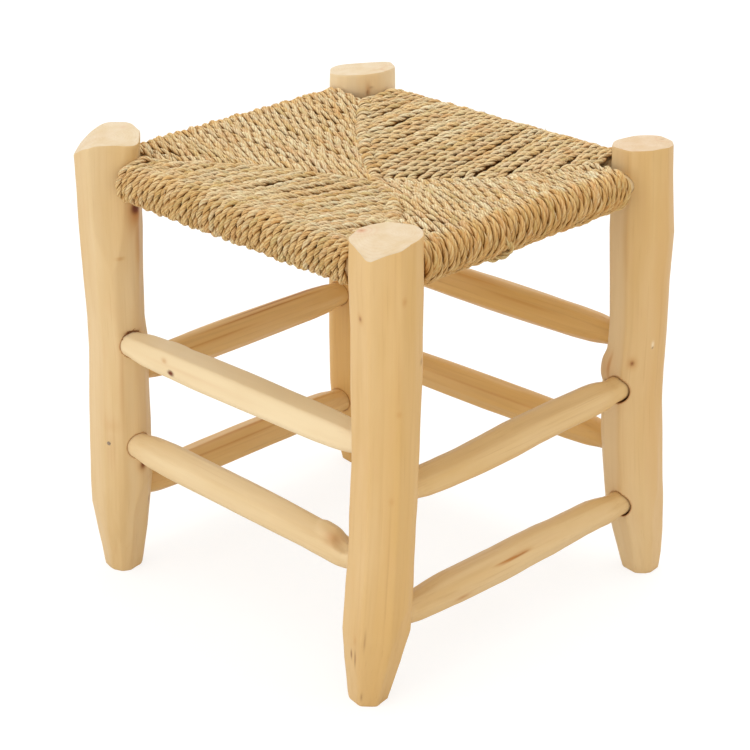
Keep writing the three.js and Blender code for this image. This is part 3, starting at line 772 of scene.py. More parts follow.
# Marks on the posts: (layer, height, degrees, half length, half width, strength, sharpness), with
# lengths in millimetres
POST_MARKS = [
    [
        ("tone_and_shade", 130, 27, 270, 22.5, 0.36, 6),
        ("pale_and_lit", 200, 32, 240, 14, 0.14, 3),
        # Painted shade: a faint darkening of the lit left side of this post.
        ("amber_and_shade", 230, -130, 260, 26, 0.06, 3),
        ("pale_and_lit", 180, 10, 200, 22, 0.16, 4),
        ("knot", 388, 9, 6, 5.5, 1, 2),
        ("amber_and_shade", 384, 10, 16, 9, 0.85, 1),
        ("amber_and_shade", 362, 16, 38, 4.5, 0.4, 1.5),
        ("amber_and_shade", 340, -25, 1.4, 4, 0.6, 1),
        ("amber_and_shade", 165, -56, 8, 9, 0.16, 1),
        ("knot", 262, -8, 1, 8, 0.9, 2),
        ("amber_and_shade", 262, -8, 2.4, 10, 0.5, 1),
        ("amber_and_shade", 141, -59, 20, 5, 0.14, 1),
        ("knot", 120, 4, 3.6, 3, 1, 1),
        ("amber_and_shade", 119, 4, 6, 5, 0.6, 1),
        ("knot", 74, 38, 4, 2, 0.7, 1),
        ("amber_and_shade", 215, -36, 42, 2.2, 0.2, 1),
    ],
    [
        ("knot", 382, -100, 1.8, 1.8, 0.65, 1),
        ("amber_and_shade", 382, -100, 5, 4, 0.4, 1),
        ("amber_and_shade", 402, -16, 4, 2.6, 0.4, 1),
        ("amber_and_shade", 298, -25, 3, 2.5, 0.3, 1),
        ("amber_and_shade", 214, -34, 4, 2.5, 0.25, 1),
        ("knot", 340, 28, 3, 2, 0.5, 1),
        ("knot", 53, -104, 5, 1.2, 0.8, 1.5),
        ("knot", 51, -89, 9, 0.9, 0.75, 1.5),
        ("knot", 74, -68, 10, 0.8, 0.4, 1),
        ("knot", 11, -68, 4, 0.9, 0.5, 1),
        ("amber_and_shade", 70, -90, 5, 2, 0.3, 1),
        # Painted shade: a faint broad darkening of the front of this post, where the lamps light it
        # most.
        ("amber_and_shade", 230, -47, 300, 100, 0.03, 8),
    ],
    [
        ("knot", 235, -59, 2, 1.6, 0.85, 1),
        ("amber_and_shade", 235, -59, 5.5, 4.5, 0.55, 1),
        ("pale_and_lit", 254, -17, 3.2, 1.4, 0.9, 1),
        ("knot", 251, -17, 0.9, 0.9, 0.8, 1),
        ("knot", 368, 36, 5, 3, 0.6, 1),
        ("amber_and_shade", 226, -111, 15, 1.5, 0.7, 1.5),
        ("knot", 209, -114, 2.6, 3, 0.8, 1.5),
        ("amber_and_shade", 226, -120, 16, 9, 0.3, 1),
        ("pale_and_lit", 20, -60, 110, 80, 0.14, 2),
        # Painted light on the left side of this post, and painted shade on its right side.
        ("pale_and_lit", 230, -122, 260, 20, 0.26, 4),
        ("amber_and_shade", 230, 28, 260, 30, 0.12, 4),
    ],
    [
        ("tone_and_shade", 180, -47, 215, 80, 0.7, 6),
        ("tone_and_shade", 440, -34, 30, 14, 0.7, 3),
        # Painted light over the collar by the seat, and painted warm shade just under the cord.
        ("pale_and_lit", 440, -47, 40, 90, 0.45, 3),
        ("amber_and_shade", 424, -47, 9, 90, 0.3, 1),
        ("knot", 433, -36, 2.6, 1.1, 0.6, 1),
        ("amber_and_shade", 434, -35, 9, 3, 0.5, 1),
        ("knot", 438, -30, 1.1, 2, 0.4, 1),
    ],
]
# Marks on the sawn tops: (layer, x, y from the axis, radius of a ring, half width, strength)
TOP_MARKS = {
    0: [("amber_and_shade", -2, 22, 0, 3, 0.2)],
    1: [
        ("amber_and_shade", -26, -3, 0, 4.5, 0.7),
        ("knot", -26, -3, 0, 1.4, 0.3),
        ("amber_and_shade", -26, -3, 9, 1.3, 0.2),
        ("amber_and_shade", -26, -3, 14, 1.6, 0.12),
    ],
    2: [
        ("amber_and_shade", 0, 0, 0, 60, 0.14),
        ("knot", 7, 20, 0, 2, 0.3),
        ("amber_and_shade", 10, 26, 12, 1.2, 0.35),
        ("amber_and_shade", 4, -66, 42, 1.2, 0.3),
    ],
    3: [("amber_and_shade", 34, 14, 14, 1.6, 0.22), ("amber_and_shade", 34, 14, 22, 1.5, 0.1)],
}


def build_post(k, wood, sawn):
    plan = POSTS[k]
    rings = post_rings(plan, 100 * (k + 1))
    points, faces = skin(rings)
    piece = new_piece(f"dressed_post_{plan['name']}", points, faces, wood, sawn)
    cut(piece, mortises(k))
    mesh = piece.data
    places = coordinates(mesh)
    heights = np.clip(places[:, 2], 0, HEIGHT)
    axes = np.array([post_axis(plan, h) for h in np.linspace(0, HEIGHT, 200)])
    levels = np.linspace(0, HEIGHT, 200)
    local = places.copy()
    for axis in (0, 1):
        local[:, axis] -= np.interp(heights, levels, axes[:, axis])
    pith = np.array([0.1, -0.14]) * POST_RADIUS * (1 if k % 2 else -1)
    grain = local + np.array([*pith, 3.1 * k])
    store(mesh, "grain", grain)
    layers = blank_layers(len(local), POST_TONES[k])
    # Painted warm shade: each post is made more golden on its side that faces right, away from the
    # lamps.
    away = np.arctan2(local[:, 1], local[:, 0]) - math.radians(43)
    layers["tone_and_shade"] += 0.13 * (1 + np.cos(away))
    stain = mortise_stain(k, places)
    layers["amber_and_shade"] = 0.8 * stain
    layers["knot"] = 0.4 * stain
    radius = np.hypot(local[:, 0], local[:, 1])
    top = top_height(plan, local[:, 0], local[:, 1])
    on_top = (places[:, 2] > top - 0.6 * MM) & (radius < POST_RADIUS * 1.2)
    for kind, x, y, ring, width, strength in TOP_MARKS.get(k, []):
        away = (np.hypot(local[:, 0] - x * MM, local[:, 1] - y * MM) - ring * MM) / (width * MM)
        layers[kind] = np.maximum(layers[kind], on_top * strength * np.exp(-(away ** 2)))
    store_marks(mesh, local, POST_MARKS[k], layers)
    ends = on_top | (places[:, 2] < 0.2 * MM)
    for polygon in mesh.polygons:
        if all(ends[v] for v in polygon.vertices):
            polygon.material_index = 1
    mesh.shade_smooth()
    mesh.set_sharp_from_angle(angle=math.radians(38))
    dress(piece, f"post_{plan['name']}")


def joined_skins(skins):
    """Several closed skins as one list of points and one of faces."""
    points = []
    faces = []
    start = 0
    for part, sides in skins:
        points.append(part)
        faces += [tuple(v + start for v in face) for face in sides]
        start += len(part)
    return np.concatenate(points), faces


SPLINTERS = 34


def build_splinters(material):
    """Torn wood over the mortise of the upper front stretcher in the left post."""
    radius, start, end = hole(0, 0)
    axes, middle = bar_frame(start, end)
    points, faces = skin(post_rings(POSTS[0], 100))
    post = BVHTree.FromPolygons(points.tolist(), faces)
    source = np.random.default_rng(23)
    share = np.linspace(0, 1, 5)[:, None]
    skins = []
    for _ in range(SPLINTERS):
        angle = math.radians(source.uniform(60, 150))
        out = Vector((math.cos(angle), math.sin(angle), 0))
        origin = axes @ (out * (radius + source.uniform(0, 0.8) * MM)) + middle
        spot = post.ray_cast(origin, axes @ Vector((0, 0, -1)))[0]
        way = axes @ Vector((source.uniform(-4, 4), source.uniform(0, 2.4), source.uniform(0.5, 2)))
        curl = np.array(axes @ out) * source.uniform(-0.6, 0.6) * MM * np.sin(math.pi * share)
        path = np.array(spot) + share * np.array(way) * MM + curl
        skins.append(skin(fibre_rings(path, source.uniform(0.35, 0.7) * MM)))
    points, faces = joined_skins(skins)
    piece = new_piece("torn_wood", points, faces, material)
    store(piece.data, "grain", points)
    layers = blank_layers(len(points), 0)
    layers["amber_and_shade"] += 0.8
    layers["knot"] += 0.7
    store_marks(piece.data, points, [], layers)
    dress(piece, "post_front_left")


# Stretchers
# Partly the wood's own colour, and on the back and left bars also painted warm shade.
STRETCHER_TONES = [0.02, 0.06, 0.38, 0.3, 0.7, 0.6, 0.7, 0.64]  # how golden each is
STRETCHER_PALES = [0.36, 0.15, 0, 0, 0, 0, 0.06, 0.05]  # and how pale
STRETCHER_SIDES = 72
STRETCHER_STEP = 2 * MM
STRETCHER_RIPPLES = [(0.06, 1, 0), (0.045, 2, 1), (0.03, 3, 2)]
RANDOM_CUTS = 26  # whittled flats at random places
# Lumps and whittled steps: (along from the middle, degrees, half length, half width, rise,
# sharpness), with lengths in millimetres
STRETCHER_BUMPS = {
    0: [(-96, 74, 12, 22, 1.0, 2)],
    1: [(116, 80, 13, 16, 2.0, 3), (142, 88, 14, 20, -4.5, 3)],
}
# Broad flats of their own: (degrees, depth)
STRETCHER_CUTS = {0: [(98, 0.84), (172, 0.87)], 1: [(112, 0.9), (176, 0.93)]}
# Where a stretcher is thinner and higher than its plan: (along, growth, rise) in millimetres
STRETCHER_TRIMS = {
    1: [(-93, -0.3, 0), (-8, -0.8, 0), (92, -1, 0), (118, -0.6, -0.8), (136, -0.8, -2.6)],
    2: [
        (-141, -0.4, -0.3), (-111, -1.2, -1.4), (-79, -1.4, -1.6), (-45, -1.1, -0.9),
        (-10, -0.5, 0.4), (24, -1.1, 1.4), (60, -1.2, 1.5), (120, -0.6, 0.5), (140, -1.4, -0.7),
    ],
    3: [
        (-139, -1, -2.4), (-91, 0, 0), (-24, 0, 0.3), (11, -0.4, 1.8), (47, -0.4, 1.5),
        (65, -1.4, 1.5), (101, -1.9, 1.8), (121, -1.2, 1.6), (142, -1, -0.6),
    ],
}
# Marks on the stretchers, as on the posts, with distances from the middle in place of heights
STRETCHER_MARKS = {
    0: [
        ("knot", -83, 192, 4.4, 2.8, 1, 2.5),
        ("amber_and_shade", -93, 158, 3.5, 2.5, 0.5, 1),
        ("amber_and_shade", -60, 170, 60, 2, 0.15, 1),
    ],
    1: [("amber_and_shade", 127, 124, 7, 7, 0.4, 1)],
    3: [
        ("amber_and_shade", -16, 150, 26, 1.2, 0.95, 2.5),
        ("knot", -14, 150, 18, 0.6, 0.3, 2),
        ("amber_and_shade", -2, 146, 12, 1.5, 0.5, 1),
        ("amber_and_shade", -87, 201, 9, 2.4, 0.65, 1),
    ],
    4: [
        ("amber_and_shade", 30, 52, 60, 1.4, 0.45, 2),
        ("amber_and_shade", -50, 26, 50, 1.4, 0.35, 2),
        ("amber_and_shade", 10, 60, 34, 7, 0.25, 1),
    ],
    5: [("amber_and_shade", -20, 30, 90, 1.3, 0.35, 2)],
    6: [
        ("amber_and_shade", -55, 84, 80, 1.5, 0.8, 2),
        ("knot", -50, 84, 70, 0.8, 0.4, 2),
        ("amber_and_shade", -20, 66, 90, 1.4, 0.7, 2),
        ("knot", -30, 67, 60, 0.7, 0.3, 2),
        ("amber_and_shade", 60, 30, 60, 1.2, 0.5, 2),
    ],
    7: [
        ("amber_and_shade", -20, 74, 120, 1.4, 0.6, 2),
        ("amber_and_shade", 20, 40, 90, 1.2, 0.5, 2),
    ],
}


def swollen(place):
    """How thick a stretcher is, from 0 in its tenons to 1, at a share of the way between posts."""
    swell = [(-1, 0), (0, 0.06), *SWELL, (1, 0.06), (2, 0)]
    growth = np.interp(place, [p for p, _ in swell], [g for _, g in swell])
    soft = np.hanning(11) / np.hanning(11).sum()
    return np.convolve(np.pad(growth, 5, mode="edge"), soft, mode="valid")


def stretcher_rings(index):
    """Rings of points round a stretcher, in its own frame."""
    plan = STRETCHERS[index]
    start, end = bar_ends(plan)
    length = (end - start).length
    posts = [POSTS[k] for k in plan["ends"]]
    heights = [share * HEIGHT for share in plan["heights"]]
    reach = [post_radius(post, height) + SHOULDER for post, height in zip(posts, heights)]
    first, last = -length / 2 - TENON_PAST_AXIS, length / 2 + TENON_PAST_AXIS
    shoulders = (-length / 2 + reach[0], length / 2 - reach[1])
    along = np.arange(first, last, STRETCHER_STEP)
    along = np.append(along[:-1], last)
    place = (along - shoulders[0]) / (shoulders[1] - shoulders[0])
    growth = swollen(place)
    bow = np.where((place > 0) & (place < 1), np.sin(np.clip(place, 0, 1) * math.pi), 0)
    body = np.clip(growth * 4, 0, 1)
    where, grows, rises = np.array(STRETCHER_TRIMS.get(index, [(0, 0, 0)])).T * MM
    radius = TENON_RADIUS + (STRETCHER_RADIUS - TENON_RADIUS) * growth
    radius = radius + np.interp(along, where, grows) * body
    rise = bow * plan["bow"] * STRETCHER_RADIUS + np.interp(along, where, rises) * body

    seed = 1000 + 50 * index
    angles = np.arange(STRETCHER_SIDES) / STRETCHER_SIDES * 2 * math.pi
    flats = [((turn + plan["turn"] + 0.25) % 1, depth) for turn, depth in STRETCHER_FLATS]
    cuts = random_cuts(seed, RANDOM_CUTS, first, last, (0.955, 0.99), (25 * MM, 90 * MM))
    for degrees, depth in STRETCHER_CUTS.get(index, []):
        cuts.append((degrees / 360, depth, 0, 170 * MM))
    body = body[:, None]
    shares = outline(angles, along, flats, cuts)
    shares = shares * body + (1 - body) * (0.985 + 0.015 * shares)
    ripple = rippled(along, angles, STRETCHER_RIPPLES, seed)
    reach = radius[:, None] * shares + 0.3 * MM * ripple * body
    add_bumps(reach, along, angles, STRETCHER_RADIUS, STRETCHER_BUMPS.get(index, []))
    across = reach * np.cos(angles)
    up = reach * np.sin(angles) + rise[:, None]
    return np.stack([across, up, np.repeat(along[:, None], STRETCHER_SIDES, 1)], axis=-1)


def build_stretcher(index, wood):
    plan = STRETCHERS[index]
    axes, middle = bar_frame(*bar_ends(plan))
    points, faces = skin(stretcher_rings(index))
    placed = points @ np.array(axes).T + np.array(middle)
    piece = new_piece(f"dressed_stretcher_{plan['name']}", placed, faces, wood)
    store(piece.data, "grain", points + np.array([2.5 * MM, -3 * MM, 1.7 * index + 20]))
    layers = blank_layers(len(points), STRETCHER_TONES[index])
    layers["pale_and_lit"] += STRETCHER_PALES[index]
    store_marks(piece.data, points, STRETCHER_MARKS.get(index, []), layers)
    piece.data.set_sharp_from_angle(angle=math.radians(40))
    dress(piece, f"stretcher_{plan['name']}")


# Nail
NAIL_SHANK = 1.3 * MM
NAIL_HEAD = 2.6 * MM
NAIL_HEAD_DEPTH = 1 * MM
NAIL_LENGTH = 47 * MM


def build_nail(material):
    """The nail that pins the lower front stretcher's tenon, driven into a flat of the left post."""
    plan = POSTS[0]
    turn, depth = plan["flats"][0]
    height = STRETCHERS[1]["heights"][0] * HEIGHT + 0.3 * TENON_RADIUS
    outward = Vector((math.cos(turn * 2 * math.pi), math.sin(turn * 2 * math.pi), 0))
    head = Vector((*post_axis(plan, height), height)) + outward * post_radius(plan, height) * depth
    profile = [
        (0, 0.55 * NAIL_HEAD),
        (0.08 * NAIL_HEAD_DEPTH, 0.85 * NAIL_HEAD),
        (0.3 * NAIL_HEAD_DEPTH, NAIL_HEAD),
        (NAIL_HEAD_DEPTH, 0.97 * NAIL_HEAD),
        (NAIL_HEAD_DEPTH, NAIL_SHANK),
        (NAIL_LENGTH - 5 * MM, NAIL_SHANK),
        (NAIL_LENGTH, 0.25 * NAIL_SHANK),
    ]
    angles = np.arange(32) / 32 * 2 * math.pi
    across = np.array(UP.cross(outward))
    circle = np.outer(np.cos(angles), across) + np.outer(np.sin(angles), UP)
    rings = [np.array(head - outward * deep) + radius * circle for deep, radius in profile]
    points, faces = skin(np.array(rings))
    piece = new_piece("driven_nail", points, faces, material)
    piece.data.set_sharp_from_angle(angle=math.radians(35))
    dress(piece, "post_nail")


# Seat cord
LAY = 29 * MM  # length along the cord in which its two plies make one turn
PLY_RADIUS = 2.35 * MM
PLY_SHIFT = 1.6 * MM
VISIBLE_STEP = 2.2 * MM
HIDDEN_STEP = 5 * MM
DIAGONAL_BOWS = (9.8 * MM, 11.3 * MM, 18.1 * MM, 6 * MM)
SWAY = 0.7 * MM  # how far one turn wavers to the side on the upper layer
LIFT = 1 * MM  # and how much higher or lower it lies than the next
SHIFT = 0.3 * MM  # how far a turn is set out of its place on the rail
WRAP_LINE = RAIL_RADIUS + CORD / 2  # from a rail's axis to the middle of the cord over it
UPPER_MARGIN = 14 * MM  # from a diagonal to the first point of the upper layer
UPPER_SPACING = 13 * MM  # between the points that the cord is drawn through, and below
LOWER_SPACING = 24 * MM
LAST_TURNS_SHORT = 12 * MM  # how far the last turns on the right rail stop before the back post
PIECES = 5
# Wider gaps in the seat: (rail, turns before it, from and to out from the middle, how far the
# turns beside it are pushed), in millimetres
PARTINGS = [
    (2, 17, -6, 15, 1.6),
    (2, 17, 65, 137, 1.3),
    (2, 12, 34, 122, 2.9),
    (2, 9, 60, 120, 1.6),
    (2, 4, 108, 140, 2.6),
    (3, 24, 56, 104, 2),
    (3, 25, 40, 177, 1.8),
    (3, 28, 92, 215, 2.2),
    (0, 10, 92, 135, 1.9),
    (0, 14, 84, 136, 2.6),
    (0, 16, 96, 138, 1.6),
    (0, 18, 60, 94, 1.8),
    (1, 15, 58, 144, 2.1),
    (1, 9, 105, 168, 1.7),
]
PARTING_TURNS = 1.7  # how many turns to each side give way


def seat_plan():
    """The rails' axes from post to post, and the diagonals' inner corners and centre."""
    corners = [Vector((*post_axis(plan, RAIL_HEIGHT), RAIL_HEIGHT)) for plan in POSTS]
    along = [(corners[(k + 1) % 4] - corners[k]).normalized() for k in range(4)]
    clear = []
    for plan in POSTS:
        axis = post_axis(plan, RAIL_HEIGHT)
        reaches = []
        for share in (-1, -0.5, 0, 0.5, 1):
            height = RAIL_HEIGHT + share * WRAP_RADIUS
            reaches.append(post_radius(plan, height) + np.hypot(*(post_axis(plan, height) - axis)))
        clear.append(max(reaches) + GAP)
    inner = []
    for k in range(4):
        reach = clear[k] - CORNER_REACH
        inner.append(corners[k] + along[k] * reach - along[k - 1] * reach)
    rails = []
    for k in range(4):
        after = (k + 1) % 4
        rails.append((corners[k] + along[k] * clear[k], corners[after] - along[k] * clear[after]))
    outward = [a.cross(UP) for a in along]
    return rails, outward, inner


def wrap_place(rails, rail, share):
    """Where a turn goes over a rail. The last ones stop short of the back right post."""
    short = LAST_TURNS_SHORT * math.exp(-(1 - share) / 0.11) if rail == 1 else 0
    start, end = rails[rail]
    return start.lerp(end, share) - (end - start).normalized() * short


def crossing(inner, corner, share):
    """Where the cord crosses itself on a diagonal, which bows away from the left and right."""
    start = inner[corner]
    centre = sum(inner, Vector()) / 4
    bow = DIAGONAL_BOWS[corner] * math.sin(math.pi * share)
    side = Vector((math.copysign(bow, start.x), -math.copysign(bow, start.y), 0))
    return start.lerp(centre, share) + side


def parted(rail, index, out):
    """How far along its rail a turn is pushed by the wider gaps, at a distance from the middle."""
    push = 0
    for side, before, start, end, most in PARTINGS:
        if side == rail:
            away = index + 0.5 - before
            middle, reach = (start + end) / 2, (end - start) / 2 + 9
            within = max(0, 1 - ((out / MM - middle) / reach) ** 2) ** 0.7
            push += math.copysign(most, away) * math.exp(-((away / PARTING_TURNS) ** 2)) * within
    return push * MM


class Route:
    """The control points of the cord, each with the step of the mesh after it."""

    def __init__(self):
        self.points = []
        self.steps = []

    def add(self, place, height, step=VISIBLE_STEP):
        self.points.append((place.x, place.y, height))
        self.steps.append(step)

    def run(self, start, end, low, high, margin_start, margin_end, step=VISIBLE_STEP):
        """A straight stretch from start to end, which keeps clear of both by a margin."""
        length = (end - start).length
        clear = length - margin_start - margin_end
        count = max(1, round(clear / LOWER_SPACING))
        for i in range(count):
            share = (margin_start + clear * (i + 0.5) / count) / length
            self.add(start.lerp(end, share), low + (high - low) * share, step)

    def upper_run(self, start, end, low, rail, index, wave):
        """A stretch of the upper layer from a diagonal out to a rail, which wavers a little."""
        sway, wavelength, phase, lift = wave
        high = RAIL_HEIGHT + WRAP_LINE
        length = (end - start).length
        clear = length - 1.4 * UPPER_MARGIN
        count = max(1, round(clear / UPPER_SPACING))
        for i in range(count):
            away = UPPER_MARGIN + clear * (i + 0.5) / count
            place = start.lerp(end, away / length)
            ease = math.sin(math.pi * away / length)
            waver = sway * ease * math.sin(away / wavelength + phase)
            side = parted(rail, index, place @ OUTSIDE[rail]) + waver
            height = low + (high - low) * away / length + lift * ease
            self.add(place - OUTSIDE[rail - 1] * side, height)

    def wrap(self, rail, outward, lean):
        for i in range(9):
            angle = math.pi * i / 8
            place = rail + outward * (math.sin(angle) * WRAP_LINE) + lean * (i / 8 - 0.5)
            self.add(place, rail.z + math.cos(angle) * WRAP_LINE)

    def back_beneath(self, rail, diagonal, way, bottom):
        self.run(rail, diagonal, RAIL_HEIGHT - WRAP_LINE, bottom, 5 * MM, 12 * MM)
        self.add(diagonal + way * 8 * MM, bottom)


def random_wave(source):
    """How a turn of the upper layer wavers: how far, wavelength and phase, and how far it lifts."""
    sway = source.normal(0, SWAY)
    wavelength = source.uniform(9, 20) * MM
    phase = source.uniform(0, 6)
    return sway, wavelength, phase, source.normal(0, LIFT)


def cord_route():
    """Turn by turn from the corners inwards, and corner by corner round the seat."""
    rails, outward, inner = seat_plan()
    pitch = (inner[1] - inner[0]).length / (2 * CORD_TURNS)
    wobble = np.random.default_rng(3)
    route = Route()
    for turn in range(CORD_TURNS):
        share = (turn + 0.5) / CORD_TURNS
        top = RAIL_HEIGHT + WRAP_LINE - CORNER_DISH * (1 - share) - SEAT_DISH * share
        bottom = RAIL_HEIGHT - WRAP_LINE + CORNER_DISH * (1 - share)
        middle = (top + bottom) / 2
        for corner in range(4):
            last = (corner - 1) % 4
            diagonal = crossing(inner, corner, share)
            along_rail = (turn + 0.5) / (2 * CORD_TURNS)
            ways = [outward[corner], outward[last]]
            first = wrap_place(rails, corner, along_rail) + ways[1] * wobble.normal(0, SHIFT)
            second = wrap_place(rails, last, 1 - along_rail) + ways[0] * wobble.normal(0, SHIFT)
            jitter = wobble.normal(0, 0.5 * MM, 4)
            a = (first - diagonal).to_2d().normalized().to_3d()
            b = (second - diagonal).to_2d().normalized().to_3d()

            # In from the middle layer, up at the diagonal and out over the first rail
            route.add(diagonal - a * 9 * MM, middle, HIDDEN_STEP)
            route.add(diagonal - a * 3 * MM, middle + (top - middle) * 0.5)
            route.add(diagonal + a * 2.5 * MM, top - 2.6 * MM)
            route.add(diagonal + a * 9 * MM, top - 0.3 * MM + jitter[0])
            route.upper_run(diagonal, first, top, corner, turn, random_wave(wobble))
            route.wrap(first, ways[0], ways[1] * jitter[2])
            route.back_beneath(first, diagonal, a, bottom)

            # Up inside the last turn, over it and out over the second rail
            riser = diagonal - b * pitch * 0.5
            route.add(riser + a * 1 * MM, bottom + 2 * MM, HIDDEN_STEP)
            route.add(riser - a * 0.8 * MM, middle, HIDDEN_STEP)
            route.add(riser - a * 0.4 * MM, top - 3.5 * MM)
            route.add(diagonal - b * 0.5 * MM, top + 0.6 * MM)
            route.add(diagonal + b * pitch * 0.7, top + 1.2 * MM)
            route.add(diagonal + b * pitch * 1.6, top + 0.4 * MM + jitter[1])
            index = 2 * CORD_TURNS - 1 - turn
            route.upper_run(diagonal, second, top, last, index, random_wave(wobble))
            route.wrap(second, ways[1], ways[0] * jitter[3])
            route.back_beneath(second, diagonal, b, bottom)
            route.add(diagonal, bottom + 1.5 * MM, HIDDEN_STEP)
            route.add(diagonal - b * 8 * MM, middle - 1 * MM, HIDDEN_STEP)

            # Across to the next corner in the middle layer
            inwards = turn + 1 if corner == 3 else turn
            if inwards == CORD_TURNS:
                break
            following = crossing(inner, (corner + 1) % 4, (inwards + 0.5) / CORD_TURNS)
            route.run(diagonal, following, middle, middle, 14 * MM, 16 * MM, HIDDEN_STEP)
    return np.array(route.points), np.array(route.steps)


def smooth_line(points, steps):
    """A centripetal curve through the points, cut into steps of about the given lengths."""
    before = np.vstack([2 * points[0] - points[1], points[:-1]])[:-1]
    first, second = points[:-1], points[1:]
    after = np.vstack([points[1:], 2 * points[-1] - points[-2]])[1:]
    line = []
    hidden = []
    for p0, p1, p2, p3, step in zip(before, first, second, after, steps):
        length = np.linalg.norm(p2 - p1)
        count = max(1, round(length / step))
        t1 = max(np.linalg.norm(p1 - p0), 1e-6) ** 0.5
        t2 = t1 + max(length, 1e-6) ** 0.5
        t3 = t2 + max(np.linalg.norm(p3 - p2), 1e-6) ** 0.5
        t = (t1 + (t2 - t1) * np.arange(count) / count)[:, None]
        a1 = (t1 - t) / t1 * p0 + t / t1 * p1
        a2 = (t2 - t) / (t2 - t1) * p1 + (t - t1) / (t2 - t1) * p2
        a3 = (t3 - t) / (t3 - t2) * p2 + (t - t2) / (t3 - t2) * p3
        b1 = (t2 - t) / t2 * a1 + t / t2 * a2
        b2 = (t3 - t) / (t3 - t1) * a2 + (t - t1) / (t3 - t1) * a3
        line.append((t2 - t) / (t2 - t1) * b1 + (t - t1) / (t2 - t1) * b2)
        hidden.append(np.full(count, step > VISIBLE_STEP))
    line.append(points[-1:])
    hidden.append([True])
    return np.concatenate(line), np.concatenate(hidden)


def carried_frames(line):
    """Directions across the line that turn as little as they can from point to point."""
    tangents = np.gradient(line, axis=0)
    tangents /= np.linalg.norm(tangents, axis=1)[:, None]
    across = np.empty_like(line)
    side = np.cross(tangents[0], [0.3, 0.2, 1.0])
    for i, tangent in enumerate(tangents):
        side = side - tangent * (side @ tangent)
        side /= math.sqrt(side @ side)
        across[i] = side
    return across, np.cross(tangents, across)


PLY_ANGLES = (-90, -70, -45, -16, 16, 45, 70)
STRAND_LAY = 17 * MM  # length in which the leaves of one ply make one turn
LEAVES = 2.6  # how many leaves there are across the outside of one ply


def cord_section():
    """Two plies side by side: distance from the cord's middle, angle, ply, painted shade in the
    groove between the plies, and place round the ply, from 0 to 1."""
    rows = []
    for ply in (0, 1):
        for degrees in PLY_ANGLES:
            angle = math.radians(degrees)
            inside = max(PLY_RADIUS ** 2 - (PLY_SHIFT * math.sin(angle)) ** 2, 0)
            radius = PLY_SHIFT * math.cos(angle) + math.sqrt(inside)
            # Painted shade, darkest at the bottom of the groove between the plies.
            painted_cord_shade = 1.0 if degrees == -90 else max(0, (abs(degrees) - 60) / 40)
            rows.append((radius, angle + ply * math.pi, ply, painted_cord_shade, degrees / 180 + 0.5))
    return np.array(rows)


def arc_lengths(line):
    return np.concatenate([[0], np.cumsum(np.linalg.norm(np.diff(line, axis=0), axis=1))])


def cord_rings(line, angles, reach):
    """Rings of points round a line, and the directions from the line to them."""
    across, over = carried_frames(line)
    cosines, sines = np.cos(angles)[..., None], np.sin(angles)[..., None]
    facing = across[:, None, :] * cosines + over[:, None, :] * sines
    return line[:, None, :] + facing * reach[..., None], facing


def fibre_places(arc, sides):
    """Where each point of the skin lies round the cord and along it."""
    around = np.arange(sides) / sides * 2 * math.pi
    places = np.broadcast_arrays(np.cos(around)[None, :], np.sin(around)[None, :], arc[:, None])
    return np.stack(places, axis=-1)


def cord_piece(name, rings, layers, material):
    """A closed piece of cord, with the values of each layer at the points of its rings."""
    points, faces = skin(rings)
    piece = new_piece(name, points, faces, material)
    for layer, values in layers.items():
        flat = values.reshape(-1, *values.shape[2:])
        store(piece.data, layer, np.concatenate([flat, flat[:1], flat[-1:]]))
    strip_map(piece.data, *rings.shape[:2])
    dress(piece, "woven_seat")


def at_edge(places):
    """Rises from 0 to 1 from the rails' axes to the outside of the wraps."""
    return np.clip(np.abs(places) / (SPACING / 2) - 0.97, 0, 0.1) / 0.1


def ply_drift(arc, waves, seed):
    """Random values along the two plies, summed from swings of (wavelength, height)."""
    plies = []
    for ply in (0, 1):
        swings = 0
        for k, (wave, height) in enumerate(waves):
            swings = swings + height * drift(arc, wave, seed + 2 * k + ply)
        plies.append(swings)
    return np.array(plies)


def cord_line():
    """The cord's centre line, the length along it, and where it is hidden inside the seat."""
    points, steps = cord_route()
    line, hidden = smooth_line(points, steps)
    arc = arc_lengths(line)
    shown = np.where(hidden, 0.3, 1.0)[:, None]
    sway = np.stack([drift(arc, 38 * MM, 11 + k) for k in range(3)], axis=-1)
    return line + sway * np.array([0.45, 0.45, 0.5]) * MM * shown, arc, hidden


